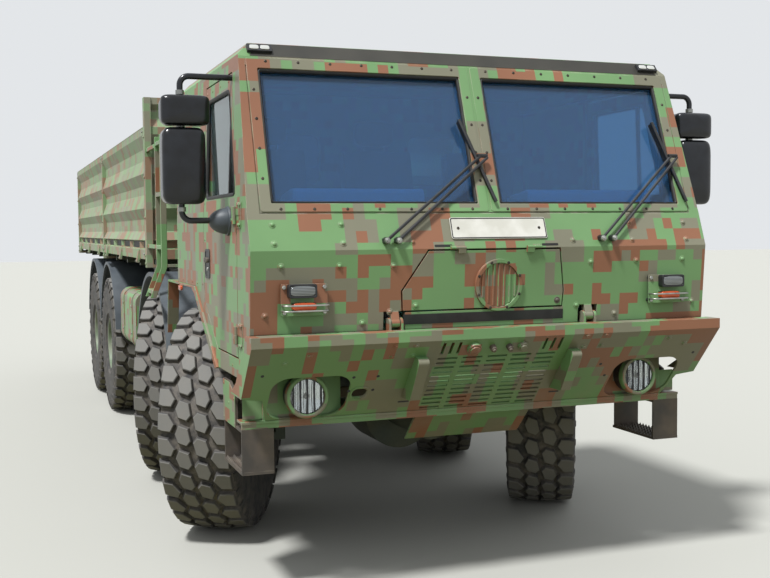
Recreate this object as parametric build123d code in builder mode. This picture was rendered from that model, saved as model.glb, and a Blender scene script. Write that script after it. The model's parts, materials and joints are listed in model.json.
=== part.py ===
"""Eight-wheel, eight-wheel-drive military cargo truck with a low sheet-steel cab.

Millimetres. +Z is up and the truck faces -Y. The origin lies on the ground, under
the middle of the truck's box. Heights are from the ground, and places along the
truck are given behind axle 1, through the three planes named below.
"""
from build123d import *
from math import cos, hypot, radians, sin, sqrt, tan
import os

os.makedirs("parts", exist_ok=True)

# Truck: lengths along the centre line, from the bumper's lip to the tailgate
FRONT_OVERHANG = 1638
AXLE_GAPS = (1650, 3100, 1450)
REAR_OVERHANG = 1970
LENGTH = FRONT_OVERHANG + sum(AXLE_GAPS) + REAR_OVERHANG
AXLE_1 = FRONT_OVERHANG - LENGTH / 2
AXLES = tuple(sum(AXLE_GAPS[:n]) for n in range(4))
HALF_WIDTH = 1275
EYE_R = 11
EYE_OUT = 13
MOVING_GAP = 8
SEAT_GAP = 0.3

# Wheels
TYRE_R = 672
TYRE_WIDTH = 430
TYRE_X = 1060
LUG_HEIGHT = 26
LUG_COUNT = 12
BEAD_R = 258
RIM_HALF = 165
KINGPIN_X = 900
STEER_AT_REST = (-28, -20)
SPINDLE_R = 45

# Driveline
BACKBONE_R = 115
BACKBONE_Z = 700
HOUSING_R = 230
HALF_AXLE_R = 70
RAIL_X = 345
RAIL_THICK = 80
RAIL_Z = (1060, 1290)
RAIL_NOSE_Z = (850, 1040)

# Cab: side profile is drawn in (distance behind axle 1, height)
CAB_HALF = HALF_WIDTH - 25
CAB_HALF_TOP = CAB_HALF - 35
CAB_WALL = 65
BELT_Z = 1870
WINDSCREEN = ((-1480, 1879), (-1207, 2645))
CREASE = (-1543, 1703)
FRONT_LOW = (-1511, 1312)
FASCIA_TOP = (-1150, 2718)
CAB_REAR = 480
CAB_BOTTOM = 1080
ARCH_FRONT = (-770, 1080)
ARCH_TOP = (-170, 1480)
CAB_TOE = (-1240, 1080)
CAB_UNDER = 1450
ROOF_UNDER = 2600
SHEET = 40
TILT_PIN = (-1520, 1345)
TILT_X = 537
TILT_PIN_R = 12
CAB_MOUNT_Y = 380

# Doors and their windows
DOOR = ((-1262, 1175), (-1262, 1900), (-1080, 2585), (-410, 2585), (-410, 1405), (-762, 1175))
HINGE_OUT = 12
HINGE_PIN = (CAB_HALF + HINGE_OUT, DOOR[0][0])
HINGE_Z = (1250, 1830)
HINGE_HALF = 42
WINDOW_Z = (1975, 2500)

# Bumper: a folded plate whose face leans back below its lip
LIP_Z = (1262, 1312)
LIP_Y = -FRONT_OVERHANG
BUMPER_LOW = (-1300, 870)
BUMPER_SHEET = 12
LAMP_X, LAMP_Z, LAMP_R = 940, 990, 98
GRILLE_COLUMNS, GRILLE_ROWS = 5, 12
GRILLE_Z = (884, 1162)

# Bed
BED_FRONT = 1720
BED_END = sum(AXLE_GAPS) + REAR_OVERHANG - EYE_OUT - EYE_R
FLOOR_Z = (1600, 1664)
SIDE_Z = (1590, 2573)
SIDE_THICK = 50
HEADBOARD_TOP = 2790
POST = 75


def side(x):
    """A plane across the truck at x, drawn in (distance behind axle 1, height)."""
    return Plane(origin=(x, AXLE_1, 0), x_dir=(0, 1, 0), z_dir=(1, 0, 0))


def face(y):
    """A forward-facing plane y behind axle 1, drawn in (x, height)."""
    return Plane(origin=(0, AXLE_1 + y, 0), x_dir=(1, 0, 0), z_dir=(0, -1, 0))


def level(z):
    """A horizontal plane at height z, drawn in (x, distance behind axle 1)."""
    return Plane(origin=(0, AXLE_1, z), x_dir=(1, 0, 0), z_dir=(0, 0, 1))


def line_at(low, high, z):
    """Distance behind axle 1 of the line low-high at height z."""
    return low[0] + (high[0] - low[0]) * (z - low[1]) / (high[1] - low[1])


def door_x(z):
    """Half width of the cab's skin at height z, which leans in above the belt."""
    return CAB_HALF - max(0, z - BELT_Z) * (CAB_HALF - CAB_HALF_TOP) / (FASCIA_TOP[1] - BELT_Z)


def save(piece, name):
    """Labels one finished piece and writes its file."""
    piece.label = name
    export_step(piece, f"parts/{name}.step")


# Tyre and rim, made once about the X axis at the origin, outer side towards +X
TREAD_R = TYRE_R - LUG_HEIGHT
TREAD_HALF = TYRE_WIDTH / 2 - 30
TYRE_SIDES = 2 * LUG_COUNT
SECTOR = 360 / TYRE_SIDES
# carcass sections: (distance from the middle, radius)
CARCASS = (
    (-RIM_HALF, BEAD_R + 30), (-TYRE_WIDTH / 2, 440), (-TREAD_HALF, TREAD_R),
    (TREAD_HALF, TREAD_R), (TYRE_WIDTH / 2, 440), (RIM_HALF, BEAD_R + 30),
)
LUG_ROOT = TREAD_R - 10
LUG_SPREAD = tan(radians(SECTOR / 2))
LUG = (
    (LUG_ROOT, -LUG_ROOT * LUG_SPREAD), (TYRE_R, -TYRE_R * LUG_SPREAD),
    (TYRE_R, TYRE_R * LUG_SPREAD), (LUG_ROOT, LUG_ROOT * LUG_SPREAD),
)
with BuildPart() as tyre:
    for x, radius in CARCASS:
        with BuildSketch(Plane.YZ.offset(x)):
            RegularPolygon(radius, TYRE_SIDES, major_radius=False, rotation=SECTOR / 2)
    loft(ruled=True)
    with BuildSketch(Plane.YZ.offset(-RIM_HALF)):
        RegularPolygon(BEAD_R + SEAT_GAP, TYRE_SIDES, major_radius=False, rotation=SECTOR / 2)
    extrude(amount=2 * RIM_HALF, mode=Mode.SUBTRACT)
    # lugs in two rows, each over every other flat: (first x, turn in degrees)
    for low_x, turn in ((-TREAD_HALF, 0), (12, SECTOR)):
        with BuildSketch(Plane.YZ.offset(low_x)):
            with PolarLocations(0, LUG_COUNT, start_angle=turn):
                Polygon(*LUG, align=None)
        extrude(amount=TREAD_HALF - 12)

HUB_FACE = 40
with BuildPart() as rim:
    with BuildSketch(Plane.XY):
        with BuildLine():
            Polyline(
                (-RIM_HALF, BEAD_R - 14),
                (-RIM_HALF, BEAD_R),
                (RIM_HALF, BEAD_R),
                (RIM_HALF, BEAD_R - 14),
                (HUB_FACE + 30, BEAD_R - 20),
                (HUB_FACE + 50, 190),
                (HUB_FACE + 40, 150),
                (RIM_HALF - 30, 120),
                (RIM_HALF - 5, 95),
                (RIM_HALF - 5, 0),
                (HUB_FACE, 0),
                (HUB_FACE, 190),
                (HUB_FACE - 10, BEAD_R - 20),
                close=True,
            )
        make_face()
    revolve(axis=Axis.X)
    with BuildSketch(Plane.YZ.offset(-TYRE_X + KINGPIN_X)):
        Circle(SPINDLE_R + 0.1)
    extrude(amount=HUB_FACE + 60 + TYRE_X - KINGPIN_X, mode=Mode.SUBTRACT)
    with BuildSketch(Plane.YZ.offset(RIM_HALF - 5)):
        Circle(60)
    extrude(amount=-60)

# Knuckle, made about the kingpin at the origin, with its spindle towards +X
KNUCKLE_HALF = 105
with BuildPart() as knuckle:
    Cylinder(60, 2 * KNUCKLE_HALF)
    with BuildSketch(Plane.YZ):
        Circle(85)
    extrude(amount=TYRE_X + HUB_FACE - 2 - KINGPIN_X)
    with BuildSketch(Plane.YZ):
        Circle(SPINDLE_R)
    extrude(amount=TYRE_X + HUB_FACE + 50 - KINGPIN_X)
    with BuildSketch(Plane.XY):
        with BuildLine():
            Polyline((-60, 40), (-60, 260), (-20, 260), (20, 0), (-20, 0), close=True)
        make_face()
    extrude(amount=35, both=True)


def placed(piece, axle, to_left, turn=0, pivot=0):
    """The piece at its wheel: turned about the kingpin, then carried out to its side."""
    turned = piece.part if to_left else piece.part.rotate(Axis.Z, 180)
    reach = (TYRE_X - pivot) if pivot else 0
    sign = 1 if to_left else -1
    spot = turned.translate((sign * reach, 0, 0)).rotate(Axis.Z, turn)
    return spot.translate((sign * (pivot or TYRE_X), AXLE_1 + AXLES[axle], TYRE_R))


for axle in range(4):
    for to_left, hand in ((True, "left"), (False, "right")):
        steered = axle < 2
        turn = STEER_AT_REST[axle] if steered else 0
        pivot = KINGPIN_X if steered else 0
        wheel = Compound(
            children=[placed(tyre, axle, to_left, turn, pivot), placed(rim, axle, to_left, turn, pivot)]
        )
        save(wheel, f"wheel_{axle + 1}_{hand}")
        if steered:
            spun = knuckle.part if to_left else knuckle.part.mirror(Plane.YZ)
            spun = spun.rotate(Axis.Z, turn)
            sign = 1 if to_left else -1
            save(
                spun.translate((sign * KINGPIN_X, AXLE_1 + AXLES[axle], TYRE_R)),
                f"knuckle_{axle + 1}_{hand}",
            )

# Backbone tube with one centre housing for each axle
with BuildPart() as backbone:
    with BuildSketch(face(-700)):
        with Locations((0, BACKBONE_Z)):
            Circle(BACKBONE_R)
    extrude(amount=-(700 + AXLES[3] + 500))
    for y in AXLES:
        with BuildSketch(face(y + 190)):
            with Locations((0, TYRE_R)):
                Circle(HOUSING_R)
        extrude(amount=380)
save(backbone.part, "backbone_tube")

# Half axles: a tube to each wheel, with a fork round the knuckle or a hub at its end
with BuildPart() as half_axles:
    for number, y in enumerate(AXLES):
        steered = number < 2
        end = KINGPIN_X - 160 if steered else TYRE_X + HUB_FACE - 2
        with BuildSketch(side(HOUSING_R - 20)):
            with Locations((y, TYRE_R)):
                Circle(HALF_AXLE_R)
        extrude(amount=end - HOUSING_R + 20)
        if steered:
            for low_z in (KNUCKLE_HALF + SEAT_GAP, -KNUCKLE_HALF - SEAT_GAP - 45):
                with BuildSketch(level(TYRE_R + low_z)):
                    with Locations((KINGPIN_X - 100, y)):
                        Rectangle(200, 90)
                    with Locations((KINGPIN_X, y)):
                        Circle(55)
                extrude(amount=45)
            with BuildSketch(side(KINGPIN_X - 200)):
                with Locations((y, TYRE_R)):
                    Rectangle(90, 2 * KNUCKLE_HALF + 90)
            extrude(amount=60)
        else:
            with BuildSketch(side(KINGPIN_X)):
                with Locations((y, TYRE_R)):
                    Circle(95)
            extrude(amount=end - KINGPIN_X)
            with BuildSketch(side(KINGPIN_X)):
                with Locations((y, TYRE_R)):
                    Circle(SPINDLE_R)
            extrude(amount=end + 52 - KINGPIN_X)
    mirror(about=Plane.YZ)
    add(backbone.part, mode=Mode.SUBTRACT)
save(half_axles.part, "half_axles")

# Chassis rails with cross-members and the outriggers that stand on the air springs
SPRING_X = 560
SPRING_PAD_Z = 1075
RAIL_FRONT = -1050
with BuildPart() as chassis_frame:
    with BuildSketch(side(RAIL_X)):
        with BuildLine():
            Polyline(
                (RAIL_FRONT, RAIL_NOSE_Z[0]), (RAIL_FRONT, RAIL_NOSE_Z[1]), (-760, RAIL_NOSE_Z[1]), (-480, RAIL_Z[1]),
                (BED_END - 80, RAIL_Z[1]), (BED_END - 80, RAIL_Z[0]), (-420, RAIL_Z[0]), (-700, RAIL_NOSE_Z[0]),
                close=True,
            )
        make_face()
    extrude(amount=RAIL_THICK)
    for y in AXLES:
        with BuildSketch(level(SPRING_PAD_Z)):
            with Locations(((RAIL_X + RAIL_THICK + SPRING_X + 100) / 2, y)):
                Rectangle(SPRING_X + 100 - RAIL_X - RAIL_THICK, 190)
        extrude(amount=25)
    # rear cab mount: a rubber-topped post on each rail
    with BuildSketch(level(RAIL_Z[1])):
        with Locations((RAIL_X + RAIL_THICK / 2, CAB_MOUNT_Y)):
            Circle(RAIL_THICK / 2 - 4)
    extrude(amount=CAB_UNDER - SEAT_GAP - RAIL_Z[1])
    mirror(about=Plane.YZ)
    for y in (RAIL_FRONT, 1250, 2500, 3900, 5450, 7000, BED_END - 200):
        with BuildSketch(face(y + 120)):
            with Locations((0, sum(RAIL_NOSE_Z if y < 0 else RAIL_Z) / 2)):
                Rectangle(2 * RAIL_X, 150)
        extrude(amount=120)
    for y in (2500, 3900, 5450):
        with BuildSketch(level(BACKBONE_Z + BACKBONE_R - 20)):
            with Locations((0, y)):
                Rectangle(160, 110)
        extrude(amount=RAIL_Z[0] - BACKBONE_Z - BACKBONE_R + 60)
    add(backbone.part, mode=Mode.SUBTRACT)
save(chassis_frame.part, "chassis_frame")

# Air springs and dampers between the half axles and the rails
with BuildPart() as suspension:
    for y in AXLES:
        with BuildSketch(face(y)):
            with BuildLine():
                low, top = TYRE_R + HALF_AXLE_R - 4, SPRING_PAD_Z - SEAT_GAP
                Polyline(
                    (SPRING_X, low), (SPRING_X + 60, low), (SPRING_X + 92, low + 130), (SPRING_X + 92, low + 200),
                    (SPRING_X + 70, low + 225), (SPRING_X + 92, low + 250), (SPRING_X + 92, top), (SPRING_X, top),
                    close=True,
                )
            make_face()
        revolve(axis=Axis((SPRING_X, AXLE_1 + y, 0), (0, 0, 1)))
    mirror(about=Plane.YZ)
    add(half_axles.part, mode=Mode.SUBTRACT)
save(suspension.part, "air_springs")

# Engine: a plain block that steps up behind the cab
ENGINE_HALF = RAIL_X - 10
ENGINE_STEP = CAB_UNDER - 20
with BuildPart() as engine:
    with BuildSketch(side(-ENGINE_HALF)):
        with BuildLine():
            Polyline(
                (-60, 930), (-60, ENGINE_STEP), (530, ENGINE_STEP), (530, 1850), (1130, 1850), (1130, 930), close=True
            )
        make_face()
    extrude(amount=2 * ENGINE_HALF)
    # four feet against the rails
    with BuildSketch(level(1150)):
        for y in (120, 1000):
            with Locations((0, y)):
                Rectangle(2 * (RAIL_X - SEAT_GAP), 110)
    extrude(amount=45)
save(engine.part, "engine")

# Bumper: lip, leaning face with lamp openings and grille slots, apron, ends and brackets
face_run = (BUMPER_LOW[0] - LIP_Y, LIP_Z[0] - BUMPER_LOW[1])
FACE_LENGTH = hypot(*face_run)
LEAN = Plane(
    origin=(0, AXLE_1 + LIP_Y, LIP_Z[0]),
    x_dir=(1, 0, 0),
    z_dir=(0, -face_run[1] / FACE_LENGTH, -face_run[0] / FACE_LENGTH),
)


def down_face(z):
    """Place on the leaning face, measured up its slope, of height z."""
    return -(LIP_Z[0] - z) * FACE_LENGTH / face_run[1]


SOCKET_Z = (1186, 1247)
FLANGE_DEPTH = 36
APRON_Z = 690
APRON_Y = -1120
FACE_FOOT = BUMPER_LOW[1] - BUMPER_SHEET / 2
WELL_Y = -1282
with BuildPart() as bumper:
    with BuildSketch(LEAN):
        with BuildLine():
            Polyline(
                (-HALF_WIDTH, 0), (HALF_WIDTH, 0), (HALF_WIDTH, down_face(1000)),
                (HALF_WIDTH - 105, down_face(985)), (HALF_WIDTH - 145, down_face(FACE_FOOT)),
                (145 - HALF_WIDTH, down_face(FACE_FOOT)), (105 - HALF_WIDTH, down_face(985)), (-HALF_WIDTH, down_face(1000)), close=True,
            )
        make_face()
        for sign in (-1, 1):
            with Locations((sign * LAMP_X, (down_face(1100) + down_face(876)) / 2)):
                RectangleRounded(400, down_face(1100) - down_face(876), 90, mode=Mode.SUBTRACT)
        with Locations((0, sum(map(down_face, GRILLE_Z)) / 2)):
            pitch = (down_face(GRILLE_Z[1]) - down_face(GRILLE_Z[0])) / (GRILLE_ROWS - 1)
            with GridLocations(136, pitch, GRILLE_COLUMNS, GRILLE_ROWS):
                Rectangle(107, 14, mode=Mode.SUBTRACT)
        # three upright slots at each side of the sockets, and the crank hole
        for x in (-314, -271, -229, 245, 290, 333):
            with Locations((x, sum(map(down_face, SOCKET_Z)) / 2)):
                Rectangle(15, down_face(SOCKET_Z[1]) - down_face(SOCKET_Z[0]), mode=Mode.SUBTRACT)
        with Locations((-683, down_face(994))):
            RectangleRounded(78, 66, 28, mode=Mode.SUBTRACT)
    extrude(amount=-BUMPER_SHEET)
    # charging sockets and their caps above the grille: (x, radius, length)
    for x, radius, length in ((-151, 34, 22), (-49, 14, 26), (42, 14, 26), (116, 24, 20)):
        with BuildSketch(LEAN.offset(-2)):
            with Locations((x, sum(map(down_face, SOCKET_Z)) / 2)):
                Circle(radius)
        extrude(amount=length)
    # lip along the top, and its flange back to the cab
    with BuildSketch(side(-HALF_WIDTH)):
        with BuildLine():
            Polyline(
                (LIP_Y, LIP_Z[0] - 2), (LIP_Y, LIP_Z[1]), (TILT_PIN[0] - 16, LIP_Z[1]),
                (TILT_PIN[0] - 16, LIP_Z[1] - BUMPER_SHEET), (LIP_Y + BUMPER_SHEET, LIP_Z[1] - BUMPER_SHEET),
                (LIP_Y + BUMPER_SHEET, LIP_Z[0] - 2), close=True,
            )
        make_face()
    extrude(amount=2 * HALF_WIDTH)
    # end plates
    for x in (-HALF_WIDTH, HALF_WIDTH - BUMPER_SHEET):
        with BuildSketch(side(x)):
            with BuildLine():
                Polyline(
                    (LIP_Y, LIP_Z[1]), (LIP_Y, LIP_Z[0]),
                    (line_at((LIP_Y, LIP_Z[0]), BUMPER_LOW, 1000), 1000), (-1180, 1000), (-1300, 1065),
                    (-1525, LIP_Z[1]), close=True,
                )
            make_face()
        extrude(amount=BUMPER_SHEET)
    # bottom flange, and lamp wells behind the openings
    with BuildSketch(level(BUMPER_LOW[1] - BUMPER_SHEET)):
        with Locations((0, BUMPER_LOW[0] + 50)):
            Rectangle(2 * HALF_WIDTH - 50, 110)
    extrude(amount=BUMPER_SHEET)
    with BuildSketch(face(BUMPER_LOW[0] + BUMPER_SHEET)):
        with Locations((0, BUMPER_LOW[1] - FLANGE_DEPTH / 2)):
            Rectangle(2 * HALF_WIDTH - 50, FLANGE_DEPTH)
    extrude(amount=BUMPER_SHEET)
    for sign in (-1, 1):
        with BuildSketch(face(WELL_Y + BUMPER_SHEET)):
            with Locations((sign * LAMP_X, (BUMPER_LOW[1] + 1075) / 2)):
                Rectangle(400, 1075 - BUMPER_LOW[1])
        extrude(amount=BUMPER_SHEET)
    # apron under the grille
    with BuildSketch(side(-330)):
        with BuildLine():
            Polyline(
                (BUMPER_LOW[0], FACE_FOOT), (APRON_Y, APRON_Z), (APRON_Y + 15, APRON_Z),
                (BUMPER_LOW[0] + 25, FACE_FOOT), close=True,
            )
        make_face()
    extrude(amount=660)
    # brackets back to the chassis rails
    for x in (-RAIL_X - RAIL_THICK, RAIL_X):
        with BuildSketch(side(x)):
            with BuildLine():
                Polyline(
                    (line_at((LIP_Y, LIP_Z[0]), BUMPER_LOW, RAIL_NOSE_Z[1]) + 8, RAIL_NOSE_Z[1]),
                    (line_at((LIP_Y, LIP_Z[0]), BUMPER_LOW, 880) + 8, 880),
                    (RAIL_FRONT - SEAT_GAP, RAIL_NOSE_Z[0]), (RAIL_FRONT - SEAT_GAP, RAIL_NOSE_Z[1]),
                    close=True,
                )
            make_face()
        extrude(amount=RAIL_THICK)
    # ears and pins that carry the front of the cab
    for x in (TILT_X - 37, TILT_X + 25, -TILT_X - 37, -TILT_X + 25):
        with BuildSketch(side(x)):
            with Locations(TILT_PIN):
                Circle(26)
            with Locations((TILT_PIN[0], (TILT_PIN[1] + LIP_Z[1] - BUMPER_SHEET) / 2)):
                Rectangle(52, TILT_PIN[1] - LIP_Z[1] + BUMPER_SHEET)
        extrude(amount=12)
    for x in (-TILT_X - 30, TILT_X - 30):
        with BuildSketch(side(x)):
            with Locations(TILT_PIN):
                Circle(TILT_PIN_R)
        extrude(amount=60)
save(bumper.part, "bumper")

# Headlamps: a deep ring, a glass face and upright guard bars
LAMP_Y = line_at((LIP_Y, LIP_Z[0]), BUMPER_LOW, LAMP_Z) + 20
with BuildPart() as headlamps:
    for sign in (-1, 1):
        with BuildSketch(face(WELL_Y - SEAT_GAP)):
            with Locations((sign * LAMP_X, LAMP_Z)):
                Circle(LAMP_R)
        extrude(amount=WELL_Y - SEAT_GAP - LAMP_Y)
        with BuildSketch(face(LAMP_Y)):
            with Locations((sign * LAMP_X, LAMP_Z)):
                Circle(LAMP_R - 10)
        extrude(amount=-25, mode=Mode.SUBTRACT)
        with BuildSketch(face(LAMP_Y)):
            for step in (-70, -35, 0, 35, 70):
                with Locations((sign * LAMP_X + step, LAMP_Z)):
                    Rectangle(8, 2 * sqrt((LAMP_R - 4) ** 2 - step**2))
        extrude(amount=-8)
save(headlamps.part, "headlamps")

# Towing lugs: thick plates that stand out of the bumper's face, rounded at the top
HOOK_X, HOOK_HALF = 421, 28
HOOK_Z = (955, 1182)
with BuildPart() as tow_hooks:
    for x in (-HOOK_X, HOOK_X):
        with BuildSketch(side(x - HOOK_HALF)):
            with BuildLine():
                low_y, high_y = (line_at((LIP_Y, LIP_Z[0]), BUMPER_LOW, z) - SEAT_GAP - 0.2 for z in HOOK_Z)
                Polyline(
                    (low_y, HOOK_Z[0]), (high_y, HOOK_Z[1]), (high_y - 62, HOOK_Z[1] - 12),
                    (low_y - 118, HOOK_Z[0]), close=True,
                )
            make_face()
        extrude(amount=2 * HOOK_HALF)
    fillet(tow_hooks.edges().filter_by(Axis.X).group_by(Axis.Y)[0], 24)
save(tow_hooks.part, "tow_hooks")

# Boarding steps hung under the bumper's ends
STEP_X = (HALF_WIDTH - 185, HALF_WIDTH - 25)
STEP_TOP = BUMPER_LOW[1] - FLANGE_DEPTH - SEAT_GAP
with BuildPart() as boarding_steps:
    for y in (-1290, -900):
        with BuildSketch(face(y)):
            with Locations((sum(STEP_X) / 2, (610 + STEP_TOP) / 2)):
                Rectangle(STEP_X[1] - STEP_X[0], STEP_TOP - 610)
        extrude(amount=12)
    with BuildSketch(level(610)):
        with Locations((sum(STEP_X) / 2, -1096)):
            Rectangle(STEP_X[1] - STEP_X[0], 416)
    extrude(amount=14)
    with BuildSketch(level(STEP_TOP - 14)):
        with Locations((sum(STEP_X) / 2, -1100)):
            Rectangle(STEP_X[1] - STEP_X[0], 400)
    extrude(amount=14)
    with BuildSketch(side(STEP_X[1] - 12)):
        with BuildLine():
            Polyline((-1170, 990), (-1170, STEP_TOP - 14), (-888, STEP_TOP - 14), (-888, 1040), (-1040, 1040), close=True)
        make_face()
    extrude(amount=12)
    with BuildSketch(side(RAIL_X + RAIL_THICK + SEAT_GAP)):
        with Locations((-1005, 945)):
            Rectangle(60, 50)
    extrude(amount=STEP_X[1] - 6 - RAIL_X - RAIL_THICK)
    with BuildSketch(side(STEP_X[0])):
        with Locations((-1005, (STEP_TOP + 945) / 2)):
            Rectangle(60, 965 - STEP_TOP + 14)
    extrude(amount=14)
    mirror(about=Plane.YZ)
save(boarding_steps.part, "boarding_steps")

# Cab walls: one blank for a side, from which the wall and the door are cut
REAR_TOP = (CAB_REAR, FASCIA_TOP[1])
SIDE_OUTLINE = (
    (FRONT_LOW[0] + 20, FRONT_LOW[1]), CREASE, WINDSCREEN[0], WINDSCREEN[1], FASCIA_TOP, REAR_TOP,
    (CAB_REAR, ARCH_TOP[1]), ARCH_TOP, ARCH_FRONT, CAB_TOE,
)
LEAN_IN = (CAB_HALF - CAB_HALF_TOP) / (FASCIA_TOP[1] - BELT_Z)


def side_blank(outline, margin=0):
    """One left-hand side slab with its lean inwards above the belt, as an algebra object."""
    with BuildPart() as slab:
        with BuildSketch(side(CAB_HALF - CAB_WALL)):
            with BuildLine():
                Polyline(*outline, close=True)
            make_face()
            if margin:
                offset(amount=margin, kind=Kind.INTERSECTION)
        extrude(amount=CAB_WALL)
        with BuildSketch(face(-2000)):
            with BuildLine():
                rise = FASCIA_TOP[1] + 100 - BELT_Z
                Polyline(
                    (CAB_HALF, BELT_Z), (CAB_HALF - LEAN_IN * rise, BELT_Z + rise),
                    (CAB_HALF + 50, BELT_Z + rise), (CAB_HALF + 50, BELT_Z), close=True,
                )
            make_face()
        extrude(amount=-3500, mode=Mode.SUBTRACT)
    return slab.part


# the faces where the front and the roof meet the rest of the cab
FRONT_SPLIT = (CAB_TOE, (-1395, 1300), (-1430, 1700), (-1375, 1880), (-1120, ROOF_UNDER))
slant = (WINDSCREEN[1][0] - WINDSCREEN[0][0]) / (WINDSCREEN[1][1] - WINDSCREEN[0][1])
WINDOW_OUTLINE = (
    (-1215, WINDOW_Z[0]), (-1215 + slant * (WINDOW_Z[1] - WINDOW_Z[0]), WINDOW_Z[1]),
    (-480, WINDOW_Z[1]), (-480, WINDOW_Z[0]),
)

with BuildPart() as side_left:
    add(side_blank(SIDE_OUTLINE))
    with BuildSketch(side(CAB_HALF - CAB_WALL - 10)):
        with BuildLine():
            Polyline(*DOOR, close=True)
        make_face()
    extrude(amount=CAB_WALL + 20, mode=Mode.SUBTRACT)
with BuildPart() as door_left:
    add(side_blank(DOOR, -MOVING_GAP))
    with BuildSketch(side(CAB_HALF - CAB_WALL - 10)):
        with BuildLine():
            Polyline(*WINDOW_OUTLINE, close=True)
        make_face()
    extrude(amount=CAB_WALL + 20, mode=Mode.SUBTRACT)
with BuildPart() as hinge_fixed:
    for low in HINGE_Z:
        with BuildSketch(level(low + HINGE_HALF + SEAT_GAP)):
            with Locations(HINGE_PIN):
                Circle(HINGE_OUT)
            with Locations((CAB_HALF + 3, HINGE_PIN[1] - 40)):
                Rectangle(6, 80)
        extrude(amount=HINGE_HALF)
with BuildPart() as hinge_moving:
    for low in HINGE_Z:
        with BuildSketch(level(low)):
            with Locations(HINGE_PIN):
                Circle(HINGE_OUT)
            with Locations((CAB_HALF + 3, HINGE_PIN[1] + 40)):
                Rectangle(6, 80)
        extrude(amount=HINGE_HALF)
with BuildPart() as glass_left:
    with BuildSketch(side(CAB_HALF - 45)):
        with BuildLine():
            Polyline(*WINDOW_OUTLINE, close=True)
        make_face()
        offset(amount=-SEAT_GAP, kind=Kind.INTERSECTION)
    extrude(amount=6)
with BuildPart() as door_hung:
    add(door_left.part)
    add(hinge_moving.part)
save(door_hung.part, "door_left")
save(door_hung.part.mirror(Plane.YZ), "door_right")
save(glass_left.part, "door_glass_left")
save(glass_left.part.mirror(Plane.YZ), "door_glass_right")

# Cab tub: floor with its step over the wheels, rear wall and both side walls
INNER = CAB_HALF - CAB_WALL
with BuildPart() as cab_tub:
    add(side_left.part)
    add(hinge_fixed.part)
    mirror(about=Plane.YZ)
    with BuildSketch(side(-INNER)):
        with BuildLine():
            Polyline(
                CAB_TOE, (CAB_TOE[0] - 30, CAB_BOTTOM + SHEET), (-840, CAB_BOTTOM + SHEET), (-430, CAB_UNDER + SHEET),
                (CAB_REAR - SHEET, CAB_UNDER + SHEET), (CAB_REAR - SHEET, ROOF_UNDER), (CAB_REAR, ROOF_UNDER),
                (CAB_REAR, CAB_UNDER), (-405, CAB_UNDER), (-815, CAB_BOTTOM), close=True,
            )
        make_face()
    extrude(amount=2 * INNER)
    with BuildSketch(face(CAB_REAR + 10)):
        for x in (-620, 620):
            with Locations((x, 2260)):
                RectangleRounded(620, 330, 60)
    extrude(amount=SHEET + 20, mode=Mode.SUBTRACT)
    # the front and the roof meet the tub at these two faces
    with BuildSketch(side(-CAB_HALF - 10)):
        with BuildLine():
            Polyline(
                (-2000, 900), *FRONT_SPLIT, (600, ROOF_UNDER), (600, 3000), (-2000, 3000), close=True,
            )
        make_face()
    extrude(amount=2 * CAB_HALF + 20, mode=Mode.SUBTRACT)
save(cab_tub.part, "cab_tub")

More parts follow.
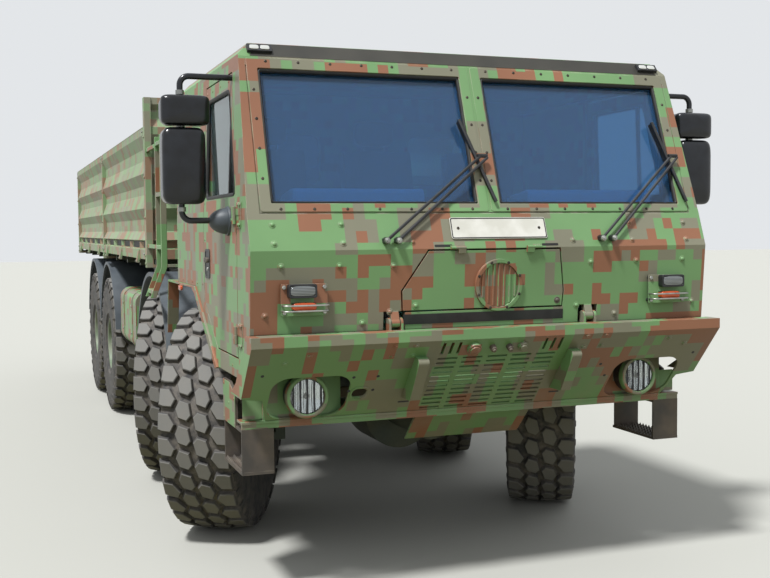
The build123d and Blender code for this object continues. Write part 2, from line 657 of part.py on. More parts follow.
# Cab front: lower plate, belt plate and the two windscreen frames, with the corner posts
SCREEN_X = (62, CAB_HALF - 122)
SCREEN_Z = (1925, 2585)
SCREEN_RUN = hypot(WINDSCREEN[1][0] - WINDSCREEN[0][0], WINDSCREEN[1][1] - WINDSCREEN[0][1])
SCREEN = Plane(
    origin=(0, AXLE_1 + WINDSCREEN[0][0], WINDSCREEN[0][1]),
    x_dir=(1, 0, 0),
    z_dir=(0, -(WINDSCREEN[1][1] - WINDSCREEN[0][1]), WINDSCREEN[1][0] - WINDSCREEN[0][0]),
)
LUG_NOTCH_Z = 1402
FLAP_PIN = (CREASE[0] - 9, CREASE[1] + 3)
FLAP = ((-499, 1395), (-505, 1500), (-366, 1700), (366, 1700), (395, 1480), (389, 1395))
with BuildPart() as cab_front:
    with BuildSketch(side(-CAB_HALF)):
        with BuildLine():
            Polyline(
                FRONT_LOW, CREASE, WINDSCREEN[0], WINDSCREEN[1], *reversed(FRONT_SPLIT), close=True,
            )
        make_face()
    extrude(amount=2 * CAB_HALF)
    with BuildSketch(side(-INNER)):
        with BuildLine():
            Polyline(
                (FRONT_LOW[0] + SHEET, FRONT_LOW[1] + 30), (CREASE[0] + SHEET, CREASE[1]), (-1460, 1800),
                (-1300, 1800), (-1300, 1300), (-1395, 1300), close=True,
            )
        make_face()
    extrude(amount=2 * INNER, mode=Mode.SUBTRACT)
    with BuildSketch(face(-1700)):
        with BuildLine():
            Polyline(*FLAP, close=True)
        make_face()
    extrude(amount=-(1700 - 1400), mode=Mode.SUBTRACT)
    # notches round the tilt ears, and the lug that hangs on each pin
    with BuildSketch(face(-1600)):
        for sign in (-1, 1):
            with Locations((sign * TILT_X, LUG_NOTCH_Z - 100)):
                Rectangle(112, 200)
    extrude(amount=-180, mode=Mode.SUBTRACT)
    for x in (-TILT_X - 21, TILT_X - 21):
        with BuildSketch(side(x)):
            with BuildLine():
                Polyline(
                    (TILT_PIN[0] - 20, TILT_PIN[1]), (TILT_PIN[0] + 12, LUG_NOTCH_Z + 30),
                    (TILT_PIN[0] + 36, LUG_NOTCH_Z + 30), (TILT_PIN[0] + 20, TILT_PIN[1]), close=True,
                )
            make_face()
            with Locations(TILT_PIN):
                Circle(22)
                Circle(TILT_PIN_R + SEAT_GAP, mode=Mode.SUBTRACT)
        extrude(amount=42)
    # two fixed barrels that the service flap hangs on
    for x in (-250, 210):
        with BuildSketch(side(x)):
            with Locations((FLAP_PIN[0], FLAP_PIN[1])):
                Circle(8)
            with Locations((FLAP_PIN[0] + 8, FLAP_PIN[1] + 6)):
                Rectangle(12, 12)
        extrude(amount=40)
    with BuildSketch(face(-2000)):
        for sign in (-1, 1):
            with BuildLine():
                Polyline(
                    (sign * SCREEN_X[0], SCREEN_Z[0]), (sign * SCREEN_X[1], SCREEN_Z[0]),
                    (sign * SCREEN_X[1], SCREEN_Z[1]), (sign * SCREEN_X[0], SCREEN_Z[1]), close=True,
                )
            make_face()
    extrude(amount=-1200, mode=Mode.SUBTRACT)
    with BuildSketch(face(-2000)):
        for sign in (-1, 1):
            rise = FASCIA_TOP[1] + 100 - BELT_Z
            with BuildLine():
                Polyline(
                    (sign * CAB_HALF, BELT_Z), (sign * (CAB_HALF - LEAN_IN * rise), BELT_Z + rise),
                    (sign * (CAB_HALF + 50), BELT_Z + rise), (sign * (CAB_HALF + 50), BELT_Z), close=True,
                )
            make_face()
    extrude(amount=-3500, mode=Mode.SUBTRACT)
    # shadow gap round the bolted windscreen frames
    with BuildSketch(SCREEN):
        with Locations((0, SCREEN_RUN / 2)):
            Rectangle(2 * (SCREEN_X[1] + 60), SCREEN_RUN + 8)
            Rectangle(2 * (SCREEN_X[1] + 54), SCREEN_RUN - 4, mode=Mode.SUBTRACT)
    extrude(amount=-5, mode=Mode.SUBTRACT)
save(cab_front.part, "cab_front")

# Windscreens, one flat pane each side of the middle post
GLASS_BACK = 30
GLASS_THICK = 10
with BuildPart() as windscreens:
    with BuildSketch(side(SEAT_GAP - SCREEN_X[1])):
        with BuildLine():
            low, high = SCREEN_Z[0] + SEAT_GAP, SCREEN_Z[1] - SEAT_GAP
            front_low, front_high = (line_at(*WINDSCREEN, z) + GLASS_BACK for z in (low, high))
            Polyline(
                (front_low, low), (front_high, high), (front_high + GLASS_THICK, high),
                (front_low + GLASS_THICK, low), close=True,
            )
        make_face()
    extrude(amount=SCREEN_X[1] - SCREEN_X[0] - 2 * SEAT_GAP)
    mirror(about=Plane.YZ)
save(windscreens.part, "windscreens")

# Roof with its hatch opening and the leaning fascia
EAVES_Z = 2655
EAVES_IN = 60
HATCH = (0, -350, 560, 560)
HATCH_LAP = 35
HATCH_PIN = (HATCH[1] + HATCH[3] / 2 + HATCH_LAP + 10, FASCIA_TOP[1] + 12)
with BuildPart() as cab_roof:
    with BuildSketch(side(-CAB_HALF)):
        with BuildLine():
            Polyline(
                (line_at(*WINDSCREEN, ROOF_UNDER) + 0, ROOF_UNDER), WINDSCREEN[1], FASCIA_TOP, REAR_TOP,
                (CAB_REAR, ROOF_UNDER), close=True,
            )
        make_face()
    extrude(amount=2 * CAB_HALF)
    with BuildSketch(level(ROOF_UNDER)):
        with Locations((0, (CAB_REAR - SHEET - 1060) / 2)):
            Rectangle(2 * (CAB_HALF_TOP - CAB_WALL), CAB_REAR - SHEET + 1060)
    extrude(amount=FASCIA_TOP[1] - ROOF_UNDER - SHEET, mode=Mode.SUBTRACT)
    with BuildSketch(level(ROOF_UNDER)):
        with Locations((HATCH[0], HATCH[1])):
            RectangleRounded(HATCH[2], HATCH[3], 60)
    extrude(amount=200, mode=Mode.SUBTRACT)
    with BuildSketch(face(-2000)):
        for sign in (-1, 1):
            rise = FASCIA_TOP[1] + 100 - BELT_Z
            with BuildLine():
                Polyline(
                    (sign * CAB_HALF, BELT_Z), (sign * door_x(EAVES_Z), EAVES_Z),
                    (sign * (door_x(EAVES_Z) - EAVES_IN), FASCIA_TOP[1]),
                    (sign * (door_x(EAVES_Z) - EAVES_IN), BELT_Z + rise),
                    (sign * (CAB_HALF + 50), BELT_Z + rise), (sign * (CAB_HALF + 50), BELT_Z), close=True,
                )
            make_face()
    extrude(amount=-3500, mode=Mode.SUBTRACT)
    for x in (-200, 160):
        with BuildSketch(side(x)):
            with Locations(HATCH_PIN):
                Circle(8)
            with Locations((HATCH_PIN[0] + 2, (HATCH_PIN[1] + FASCIA_TOP[1]) / 2 - 1)):
                Rectangle(14, HATCH_PIN[1] - FASCIA_TOP[1] + 2)
        extrude(amount=40)
    add(cab_front.part, mode=Mode.SUBTRACT)
save(cab_roof.part, "cab_roof")

with BuildPart() as roof_hatch:
    with BuildSketch(level(FASCIA_TOP[1] + SEAT_GAP)):
        with Locations((HATCH[0], HATCH[1])):
            RectangleRounded(HATCH[2] + 2 * HATCH_LAP, HATCH[3] + 2 * HATCH_LAP, 70)
    extrude(amount=32)
    for x in (-160 + SEAT_GAP, 120 - SEAT_GAP):
        with BuildSketch(side(x)):
            with Locations(HATCH_PIN):
                Circle(8)
            with Locations((HATCH_PIN[0] - 8, HATCH_PIN[1])):
                Rectangle(16, 8)
        extrude(amount=40)
save(roof_hatch.part, "roof_hatch")

# Front service flap in the lower plate
COVER = (18, 1517)
COVER_R = 130
LOWER = Plane(
    origin=(0, AXLE_1 + CREASE[0], CREASE[1]),
    x_dir=(1, 0, 0),
    z_dir=(0, FRONT_LOW[1] - CREASE[1], CREASE[0] - FRONT_LOW[0]),
)
with BuildPart() as front_flap:
    with BuildSketch(side(-CAB_HALF)):
        with BuildLine():
            Polyline(
                FRONT_LOW, CREASE, (CREASE[0] + 25, CREASE[1]), (FRONT_LOW[0] + 25, FRONT_LOW[1]), close=True
            )
        make_face()
    extrude(amount=2 * CAB_HALF)
    with BuildSketch(face(-1700)):
        with BuildLine():
            Polyline(*FLAP, close=True)
        make_face()
        offset(amount=-MOVING_GAP, kind=Kind.INTERSECTION)
    extrude(amount=-400, mode=Mode.INTERSECT)
    # round blank cover in its raised ring
    with BuildSketch(LOWER):
        with Locations((COVER[0], COVER[1] - CREASE[1])):
            Circle(COVER_R)
            Circle(COVER_R - 18, mode=Mode.SUBTRACT)
    extrude(amount=14)
    with BuildSketch(LOWER):
        with Locations((COVER[0], COVER[1] - CREASE[1])):
            Circle(COVER_R - 17)
    extrude(amount=4)
    for x in (-250 + 40 + SEAT_GAP, 210 - 40 - SEAT_GAP):
        with BuildSketch(side(x)):
            with Locations(FLAP_PIN):
                Circle(8)
            with BuildLine():
                Polyline(
                    (FLAP_PIN[0] - 7, FLAP_PIN[1] - 2), (FLAP_PIN[0] - 2, FLAP_PIN[1] - 28),
                    (FLAP_PIN[0] + 14, FLAP_PIN[1] - 28), (FLAP_PIN[0] + 14, FLAP_PIN[1] - 12),
                    (FLAP_PIN[0] + 5, FLAP_PIN[1] - 3), close=True,
                )
            make_face()
        extrude(amount=40)
save(front_flap.part, "front_flap")

# Front wheel arch fenders on the cab
FENDER_X = (CAB_HALF - 60, CAB_HALF + 12)
FENDER_LIP = 44
with BuildPart() as cab_fenders:
    with BuildSketch(side(FENDER_X[0])):
        with BuildLine():
            Polyline(
                (ARCH_FRONT[0], ARCH_FRONT[1] - 1), (ARCH_TOP[0], ARCH_TOP[1] - 1), (810, ARCH_TOP[1] - 1),
                (880, 1120), (868, 1120), (800, ARCH_TOP[1] - 13), (ARCH_TOP[0] + 3, ARCH_TOP[1] - 13),
                (ARCH_FRONT[0] + 12, ARCH_FRONT[1] - 8), close=True,
            )
        make_face()
    extrude(amount=FENDER_X[1] - FENDER_X[0])
    # the broad lip along the arch's outer edge
    with BuildSketch(side(FENDER_X[1] - 8)):
        with BuildLine():
            Polyline(
                (ARCH_FRONT[0], ARCH_FRONT[1] - 1), (ARCH_TOP[0], ARCH_TOP[1] - 1), (ARCH_TOP[0] + 100, ARCH_TOP[1] - 1),
                (ARCH_TOP[0] + 100, ARCH_TOP[1] - 20), (ARCH_TOP[0] + 25, ARCH_TOP[1] - FENDER_LIP),
                (ARCH_FRONT[0] + FENDER_LIP, ARCH_FRONT[1] - 14), close=True,
            )
        make_face()
    extrude(amount=8)
    mirror(about=Plane.YZ)
save(cab_fenders.part, "cab_fenders")

# Seats: three cushions on the raised floor, each with its back
SEAT_FOOT = CAB_UNDER + SHEET
with BuildPart() as seats:
    for x in (-720, 0, 720):
        with BuildSketch(level(SEAT_FOOT + SEAT_GAP)):
            with Locations((x, -120)):
                RectangleRounded(460, 480, 60)
        extrude(amount=190)
        with BuildSketch(side(x - 230)):
            with BuildLine():
                Polyline(
                    (60, SEAT_FOOT + 10), (130, SEAT_FOOT + 10), (300, SEAT_FOOT + 790),
                    (200, SEAT_FOOT + 810), (60, SEAT_FOOT + 200), close=True,
                )
            make_face()
        extrude(amount=460)
save(seats.part, "seats")

# Dashboard across the cab behind the windscreens
with BuildPart() as dashboard:
    with BuildSketch(side(-INNER + 10)):
        with BuildLine():
            Polyline(
                (-1390, 1886), (-1150, 1850), (-1070, 1780), (-1090, 1560), (-1290, 1560),
                (-1290, 1800), (-1420, 1815), close=True,
            )
        make_face()
    extrude(amount=2 * INNER - 20)
    add(cab_front.part, mode=Mode.SUBTRACT)
save(dashboard.part, "dashboard")

STEERING = Plane(origin=(720, AXLE_1 - 830, 1830), x_dir=(1, 0, 0), z_dir=(0, 0.42, 0.9))
with BuildPart() as steering_wheel:
    with BuildSketch(STEERING):
        Circle(235)
        Circle(205, mode=Mode.SUBTRACT)
        Circle(55)
        for angle in (90, 210, 330):
            with Locations((125 * cos(radians(angle)), 125 * sin(radians(angle)))):
                Rectangle(180, 30, rotation=angle)
    extrude(amount=26)
    with BuildSketch(STEERING):
        Circle(28)
    extrude(amount=-805)
    add(cab_tub.part, mode=Mode.SUBTRACT)
save(steering_wheel.part, "steering_wheel")

# Mirrors: two heads on a bowed tube that stands out from each door
MIRROR_Y = -1075
MIRROR_X = CAB_HALF + 225
with BuildPart() as mirror_left:
    with BuildSketch(face(MIRROR_Y + 10)):
        # mirror heads: (x, height of the middle, width, height)
        for x, z, width, height in ((MIRROR_X, 2115, 210, 370), (MIRROR_X - 10, 2383, 235, 145)):
            with Locations((x, z)):
                RectangleRounded(width, height, 45)
    extrude(amount=95)
    fillet(mirror_left.faces().sort_by(Axis.Y)[:2].edges(), 30)
    with BuildLine():
        route = FilletPolyline(
            Vector(door_x(2555) + SEAT_GAP, AXLE_1 + MIRROR_Y, 2555),
            Vector(MIRROR_X + 5, AXLE_1 + MIRROR_Y, 2555),
            Vector(MIRROR_X + 5, AXLE_1 + MIRROR_Y, 1850),
            Vector(door_x(1850) + SEAT_GAP, AXLE_1 + MIRROR_Y, 1850),
            radius=45,
        )
    with BuildSketch(Plane(origin=route @ 0, z_dir=route % 0)):
        Circle(15)
    sweep(path=route.wire())
    with BuildSketch(side(door_x(1850) + SEAT_GAP)):
        with Locations((MIRROR_Y, 1847)):
            Circle(62)
    extrude(amount=85, taper=18)
    add(door_left.part, mode=Mode.SUBTRACT)
save(mirror_left.part, "mirror_left")
save(mirror_left.part.mirror(Plane.YZ), "mirror_right")

# Wipers: two parallel arms on their pivots, and a blade, in front of each windscreen
BLADE_OUT = 22


def over_screen(x, z, out=BLADE_OUT):
    """A point that stands out from the plane of the windscreens."""
    return Vector(x, AXLE_1 + line_at(*WINDSCREEN, z) - out, z)


def rod(start, end, radius):
    """A six-sided bar between two points, as an algebra object."""
    with BuildPart() as bar:
        with BuildSketch(Plane(origin=start, z_dir=end - start)):
            RegularPolygon(radius, 6)
        extrude(amount=(end - start).length)
    return bar.part


# (pivot x of the two arms, tip, blade's top, blade's foot), each in (x, height)
WIPERS = (
    ((-586, -525), (14, 2168), (-107, 2356), (30, 1935)),
    ((604, 670), (1160, 2186), (1052, 2372), (1171, 1937)),
)
with BuildPart() as wipers:
    for pivots, tip, top, foot in WIPERS:
        for number, x in enumerate(pivots):
            start = Vector(x, AXLE_1 + CREASE[0] - 12, 1745)
            add(rod(start + Vector(0, 60, 0), start - Vector(0, 10, 0), 17))
            end = over_screen(tip[0] - 35 * (1 - number), tip[1] - 8 * number, BLADE_OUT + 14)
            add(rod(start, end, 8))
        add(rod(over_screen(*top), over_screen(*foot), 9))
        add(rod(over_screen(tip[0] - 55, tip[1], BLADE_OUT + 14), over_screen(*tip, BLADE_OUT + 14), 10))
    add(cab_front.part, mode=Mode.SUBTRACT)
save(wipers.part, "wipers")

# Lamp units: a plate on four stand-offs with a position lamp over an indicator, and a
# marker lamp at each end of the roof's fascia
UNIT_X, UNIT_Z = CAB_HALF - 252, 1474
UNIT_Y = -1545
MARKER_X = CAB_HALF_TOP - 107
FASCIA = Plane(
    origin=(0, AXLE_1 + (WINDSCREEN[1][0] + FASCIA_TOP[0]) / 2, (WINDSCREEN[1][1] + FASCIA_TOP[1]) / 2),
    x_dir=(1, 0, 0),
    z_dir=(0, WINDSCREEN[1][1] - FASCIA_TOP[1], FASCIA_TOP[0] - WINDSCREEN[1][0]),
)
with BuildPart() as front_lamps:
    for sign in (-1, 1):
        with BuildSketch(face(UNIT_Y)):
            with Locations((sign * UNIT_X, UNIT_Z)):
                with GridLocations(196, 118, 2, 2):
                    RegularPolygon(10, 6)
        extrude(amount=-40)
        # (x and height from the plate's middle, width, height, thickness)
        for x, z, width, height, thick in ((0, 0, 225, 148, 5), (16, 42, 130, 58, 44), (6, -32, 112, 36, 30)):
            with BuildSketch(face(UNIT_Y)):
                with Locations((sign * (UNIT_X + x), UNIT_Z + z)):
                    Rectangle(width, height)
            extrude(amount=thick)
    add(cab_front.part, mode=Mode.SUBTRACT)
    for x in (-MARKER_X, MARKER_X):
        with BuildSketch(FASCIA.offset(SEAT_GAP)):
            with Locations((x, 0)):
                Rectangle(124, 44)
        extrude(amount=18)
save(front_lamps.part, "front_lamps")

# Mudguards over axles 2, 3 and 4: half rings over each tyre
GUARD_TOP = 828
GUARD_SHEET = 12
GUARD_X = (840, HALF_WIDTH - 10)
GUARD_LIP = 30
GUARD_REACH = (830, 752, 752)
with BuildPart() as mudguards:
    for y, reach, low in zip(AXLES[1:], GUARD_REACH, (160, 200, 200)):
        with BuildSketch(side(GUARD_X[0])):
            with Locations((y, TYRE_R)):
                Ellipse(reach, GUARD_TOP)
                Ellipse(reach - GUARD_SHEET, GUARD_TOP - GUARD_SHEET, mode=Mode.SUBTRACT)
            with Locations((y, low - GUARD_TOP)):
                Rectangle(4 * GUARD_TOP, 2 * GUARD_TOP + 2 * TYRE_R, mode=Mode.SUBTRACT)
        extrude(amount=GUARD_X[1] - GUARD_X[0])
        # thick rolled edge on the outer side
        with BuildSketch(side(GUARD_X[1] - 24)):
            with Locations((y, TYRE_R)):
                Ellipse(reach, GUARD_TOP)
                Ellipse(reach - GUARD_LIP, GUARD_TOP - GUARD_LIP, mode=Mode.SUBTRACT)
            with Locations((y, low - GUARD_TOP)):
                Rectangle(4 * GUARD_TOP, 2 * GUARD_TOP + 2 * TYRE_R, mode=Mode.SUBTRACT)
        extrude(amount=24)
        with BuildSketch(side(RAIL_X + RAIL_THICK + SEAT_GAP)):
            with Locations((y, TYRE_R + GUARD_TOP - 30)):
                Rectangle(50, 50)
        extrude(amount=GUARD_X[0] + 30 - RAIL_X - RAIL_THICK)
        with BuildSketch(side(RAIL_X + RAIL_THICK + SEAT_GAP)):
            with Locations((y, (TYRE_R + GUARD_TOP - 30 + RAIL_Z[0] + 80) / 2)):
                Rectangle(50, TYRE_R + GUARD_TOP - 30 - RAIL_Z[0] - 80)
        extrude(amount=25)
    mirror(about=Plane.YZ)
save(mudguards.part, "mudguards")

# Fuel tank on the right and equipment box on the left, between axles 2 and 3
TANK_Y = (2720, 3800)
with BuildPart() as side_tanks:
    for sign in (-1, 1):
        with BuildSketch(face(TANK_Y[1])):
            with Locations((sign * 920, 1045)):
                RectangleRounded(640, 490, 90)
        extrude(amount=TANK_Y[1] - TANK_Y[0])
    for sign in (-1, 1):
        for y in (TANK_Y[0] + 200, TANK_Y[1] - 200):
            with BuildSketch(face(y)):
                with Locations((sign * (RAIL_X + RAIL_THICK + SEAT_GAP + 110), 1180)):
                    Rectangle(220, 80)
            extrude(amount=60)
    # two straps round each
    for sign in (-1, 1):
        for y in (TANK_Y[0] + 270, TANK_Y[1] - 230):
            with BuildSketch(face(y)):
                with Locations((sign * 920, 1045)):
                    RectangleRounded(652, 502, 94)
            extrude(amount=50)
save(side_tanks.part, "side_tanks")

# Bed floor: deck, cross-members and beams down to the rails, with the fixed halves of
# the hinges that the side boards and the tailgate turn on
EYE_Z = 1568
EYE_LENGTH = 60
GATE_EYES = (-800, 740)
SEAM = (BED_FRONT + BED_END) / 2


def eye_places(y_low, y_high):
    """Rear ends of the moving hinge eyes along a board."""
    return [y_low + (y_high - y_low) * share for share in (0.12, 0.5, 0.88)]


INNER_SIDE = HALF_WIDTH - SIDE_THICK
with BuildPart() as bed_floor:
    with BuildSketch(level(FLOOR_Z[0])):
        with Locations((0, (BED_FRONT + BED_END) / 2)):
            Rectangle(2 * INNER_SIDE - 2 * MOVING_GAP, BED_END - BED_FRONT - 2 * SIDE_THICK - 2 * MOVING_GAP)
    extrude(amount=FLOOR_Z[1] - FLOOR_Z[0])
    for n in range(8):
        y = BED_FRONT + 120 + n * (BED_END - BED_FRONT - 240) / 7
        with BuildSketch(face(y + 35)):
            with Locations((0, (FLOOR_Z[0] + 1520) / 2)):
                Rectangle(2 * INNER_SIDE - 60, FLOOR_Z[0] - 1520)
        extrude(amount=70)
    for x in (-RAIL_X - RAIL_THICK, RAIL_X):
        with BuildSketch(side(x)):
            with Locations(((BED_FRONT + BED_END) / 2, (RAIL_Z[1] + 1530) / 2 + SEAT_GAP / 2)):
                Rectangle(BED_END - BED_FRONT - 60, 1530 - RAIL_Z[1] - SEAT_GAP)
        extrude(amount=RAIL_THICK)
    for y_low, y_high in (
        (BED_FRONT + POST + MOVING_GAP, SEAM - POST / 2 - MOVING_GAP),
        (SEAM + POST / 2 + MOVING_GAP, BED_END - POST - MOVING_GAP),
    ):
        for y in eye_places(y_low, y_high):
            for sign in (-1, 1):
                with BuildSketch(face(y + EYE_LENGTH + SEAT_GAP)):
                    with Locations((sign * (HALF_WIDTH + EYE_OUT), EYE_Z)):
                        Circle(EYE_R)
                    with Locations((sign * (HALF_WIDTH + EYE_OUT + 1000) / 2, EYE_Z - 3)):
                        Rectangle(HALF_WIDTH + EYE_OUT - 1000, 16)
                    with Locations((sign * 1080, (EYE_Z + FLOOR_Z[0]) / 2)):
                        Rectangle(160, FLOOR_Z[0] - EYE_Z)
                extrude(amount=EYE_LENGTH)
    for x in GATE_EYES:
        with BuildSketch(side(x + EYE_LENGTH + SEAT_GAP)):
            with Locations((BED_END + EYE_OUT, EYE_Z)):
                Circle(EYE_R)
            with Locations((BED_END + EYE_OUT - 120, EYE_Z - 3)):
                Rectangle(240, 16)
            with Locations((BED_END - 160, (EYE_Z + FLOOR_Z[0]) / 2)):
                Rectangle(120, FLOOR_Z[0] - EYE_Z)
        extrude(amount=EYE_LENGTH)
save(bed_floor.part, "bed_floor")

# Corrugated sheet of the boards. Rows are (height, depth in from the outer face)
CORRUGATION = (
    (1590, 0), (1664, 0), (1672, 30), (1725, 30), (1733, 0), (1801, 34), (1892, 34), (1972, 0),
    (2079, 34), (2146, 34), (2232, 0), (2339, 34), (2426, 34), (2519, 0), (2573, 0),
)
BOARD_SHEET = 12

# Headboard with its two tall posts, and the stakes at the side seams and rear corners
with BuildPart() as bed_posts:
    for y, top in ((BED_FRONT + POST / 2, HEADBOARD_TOP), (SEAM, SIDE_Z[1]), (BED_END - POST / 2, SIDE_Z[1])):
        with BuildSketch(level(1530)):
            for sign in (-1, 1):
                with Locations((sign * (HALF_WIDTH - SIDE_THICK / 2), y)):
                    Rectangle(SIDE_THICK, POST)
        extrude(amount=top - 1530)
    for y in (BED_FRONT + POST / 2, SEAM, BED_END - POST / 2):
        with BuildSketch(face(y + POST / 2)):
            with Locations((0, 1541)):
                Rectangle(2 * HALF_WIDTH, 22)
        extrude(amount=POST)
    with BuildSketch(side(1 - HALF_WIDTH)):
        with BuildLine():
            rows = (*CORRUGATION, (2640, 34), (2700, 34), (HEADBOARD_TOP - 50, 0), (HEADBOARD_TOP, 0))
            front = [(BED_FRONT + 10 + depth, z) for z, depth in rows]
            back = [(y + BOARD_SHEET, z) for y, z in reversed(front)]
            Polyline(*front, *back, close=True)
        make_face()
    extrude(amount=2 * (HALF_WIDTH - 1))
    add(bed_floor.part, mode=Mode.SUBTRACT)
save(bed_posts.part, "bed_posts")

# Side boards: the corrugated section, with hinge eyes and tie-down hooks
def board_section(base=0):
    """Closed outline of a corrugated board: (depth, height) out, then back one sheet further in."""
    out = [(base - depth, z) for z, depth in CORRUGATION]
    back = [(base - depth - BOARD_SHEET, z) for z, depth in reversed(CORRUGATION)]
    return out + back


def side_board(y_low, y_high):
    with BuildPart() as board:
        with BuildSketch(face(y_high)):
            with BuildLine():
                Polyline(*board_section(HALF_WIDTH), close=True)
            make_face()
        extrude(amount=y_high - y_low)
    return board.part


GAP = MOVING_GAP
HOOKS_PER_BOARD = 5
BOARDS = {
    "front": (BED_FRONT + POST + GAP, SEAM - POST / 2 - GAP),
    "rear": (SEAM + POST / 2 + GAP, BED_END - POST - GAP),
}
for place, (y_low, y_high) in BOARDS.items():
    with BuildPart() as board:
        add(side_board(y_low, y_high))
        for y in eye_places(y_low, y_high):
            with BuildSketch(face(y)):
                with Locations((HALF_WIDTH + EYE_OUT, EYE_Z)):
                    Circle(EYE_R)
                with BuildLine():
                    Polyline(
                        (HALF_WIDTH + EYE_OUT, EYE_Z - 4), (HALF_WIDTH + EYE_OUT + EYE_R, EYE_Z),
                        (HALF_WIDTH + 8, SIDE_Z[0] + 60), (HALF_WIDTH - 6, SIDE_Z[0] + 60),
                        (HALF_WIDTH - 6, SIDE_Z[0] + 4), close=True,
                    )
                make_face()
            extrude(amount=EYE_LENGTH)
        # tie-down hooks in the lowest recess
        for n in range(HOOKS_PER_BOARD):
            y = y_low + (y_high - y_low) * (n + 0.5) / HOOKS_PER_BOARD
            with BuildSketch(level(1668)):
                with BuildLine():
                    Polyline(
                        (HALF_WIDTH - 31, y - 45), (HALF_WIDTH - 31, y + 45), (HALF_WIDTH - 4, y + 30), close=True
                    )
                make_face()
            extrude(amount=52)
    save(board.part, f"dropside_{place}_left")
    save(board.part.mirror(Plane.YZ), f"dropside_{place}_right")

with BuildPart() as tailgate:
    with BuildSketch(side(-INNER_SIDE + GAP)):
        with BuildLine():
            Polyline(*board_section(BED_END), close=True)
        make_face()
    extrude(amount=2 * (INNER_SIDE - GAP))
    for x in GATE_EYES:
        with BuildSketch(side(x)):
            with Locations((BED_END + EYE_OUT, EYE_Z)):
                Circle(EYE_R)
            with BuildLine():
                Polyline(
                    (BED_END + EYE_OUT, EYE_Z - 4), (BED_END + EYE_OUT + EYE_R, EYE_Z),
                    (BED_END + 8, SIDE_Z[0] + 60), (BED_END - 6, SIDE_Z[0] + 60),
                    (BED_END - 6, SIDE_Z[0] + 4), close=True,
                )
            make_face()
        extrude(amount=EYE_LENGTH)
save(tailgate.part, "tailgate")

# Ladder at the right front corner of the bed
LADDER_Y = (930, 1150)
with BuildPart() as ladder:
    for y in LADDER_Y:
        with BuildSketch(face(y)):
            with BuildLine():
                Polyline((-1120, 2450), (-1160, 2450), (-1160, 1560), (-1240, 1350), (-1200, 1350), (-1120, 1560), close=True)
            make_face()
        extrude(amount=-14)
    for x, z in ((-1140, 2400), (-1140, 2050), (-1140, 1690), (-1205, 1390)):
        with BuildSketch(face(LADDER_Y[0] + 14)):
            with Locations((x, z)):
                Rectangle(36, 28)
        extrude(amount=-(LADDER_Y[1] - LADDER_Y[0] - 14))
    # stays to the crests of the headboard's sheet
    for z in (CORRUGATION[10][0], (CORRUGATION[0][0] + CORRUGATION[1][0]) / 2):
        with BuildSketch(face(LADDER_Y[1] + 14)):
            with Locations((-1140, z)):
                Rectangle(28, 28)
        extrude(amount=-(BED_FRONT + 10 - SEAT_GAP - LADDER_Y[1] - 14))
save(ladder.part, "ladder")

# Air intake housing behind the cab, and its stand on the rail
with BuildPart() as intake:
    with BuildSketch(level(1900)):
        with Locations((-900, 800)):
            RectangleRounded(380, 420, 40)
    extrude(amount=840)
    with BuildSketch(level(RAIL_Z[1] + SEAT_GAP)):
        with Locations((-RAIL_X - 40, 800)):
            Rectangle(80, 120)
    extrude(amount=1960 - RAIL_Z[1])
    with BuildSketch(level(1920)):
        with Locations((-600, 800)):
            Rectangle(560, 120)
    extrude(amount=60)
    add(engine.part, mode=Mode.SUBTRACT)
save(intake.part, "intake_housing")

# Spare wheel standing across the truck on its carrier
SPARE_Y, SPARE_Z = 1430, 2040
with BuildPart() as spare_wheel:
    add(tyre.part.rotate(Axis.Z, -90).translate((0, AXLE_1 + SPARE_Y, SPARE_Z)))
    add(rim.part.rotate(Axis.Z, -90).translate((0, AXLE_1 + SPARE_Y, SPARE_Z)))
save(spare_wheel.part, "spare_wheel")
SADDLE_Z = SPARE_Z - TYRE_R - 20
with BuildPart() as spare_carrier:
    for x in (-RAIL_X - RAIL_THICK, RAIL_X):
        with BuildSketch(side(x)):
            with Locations((SPARE_Y, (RAIL_Z[1] + SEAT_GAP + SADDLE_Z) / 2)):
                Rectangle(400, SADDLE_Z - RAIL_Z[1] - SEAT_GAP)
        extrude(amount=RAIL_THICK)
    with BuildSketch(level(SADDLE_Z)):
        with Locations((0, SPARE_Y)):
            Rectangle(2 * (RAIL_X + RAIL_THICK), 400)
    extrude(amount=40)
    add(spare_wheel.part, mode=Mode.SUBTRACT)
save(spare_carrier.part, "spare_carrier")

# Rear beam with the tow jaw, and the tail lamps on it
JAW_Z = (1050, 1190)
JAW_DEPTH = 90
JAW_PIN_R = 22
with BuildPart() as rear_beam:
    with BuildSketch(face(BED_END - 60)):
        with Locations((0, 1000)):
            Rectangle(2 * HALF_WIDTH - 250, 120)
    extrude(amount=60)
    for x in (-RAIL_X - RAIL_THICK, RAIL_X):
        with BuildSketch(face(BED_END - 80 + SEAT_GAP)):
            with Locations((x + RAIL_THICK / 2, 1110)):
                Rectangle(RAIL_THICK, 330)
        extrude(amount=-20)
    with BuildSketch(level(JAW_Z[0])):
        with Locations((0, BED_END - 80 + SEAT_GAP + JAW_DEPTH / 2)):
            Rectangle(180, JAW_DEPTH)
            Circle(JAW_PIN_R, mode=Mode.SUBTRACT)
    extrude(amount=JAW_Z[1] - JAW_Z[0])
    for sign in (-1, 1):
        with BuildSketch(face(BED_END - 60)):
            with Locations((sign * 1000, 1000)):
                Rectangle(260, 90)
        extrude(amount=-40)
save(rear_beam.part, "rear_beam")
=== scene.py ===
# %% [markdown]
# # An eight-wheel military cargo truck, dressed for a studio photograph
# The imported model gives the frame: every solid at its real place, in metres. The truck
# faces -Y, +X is its left side, and `back` below is counted backwards from its first axle.
# This file paints those solids and adds what is too fine for them. Each step says what the
# real thing is, how it could be made, and why this way was chosen.

import json

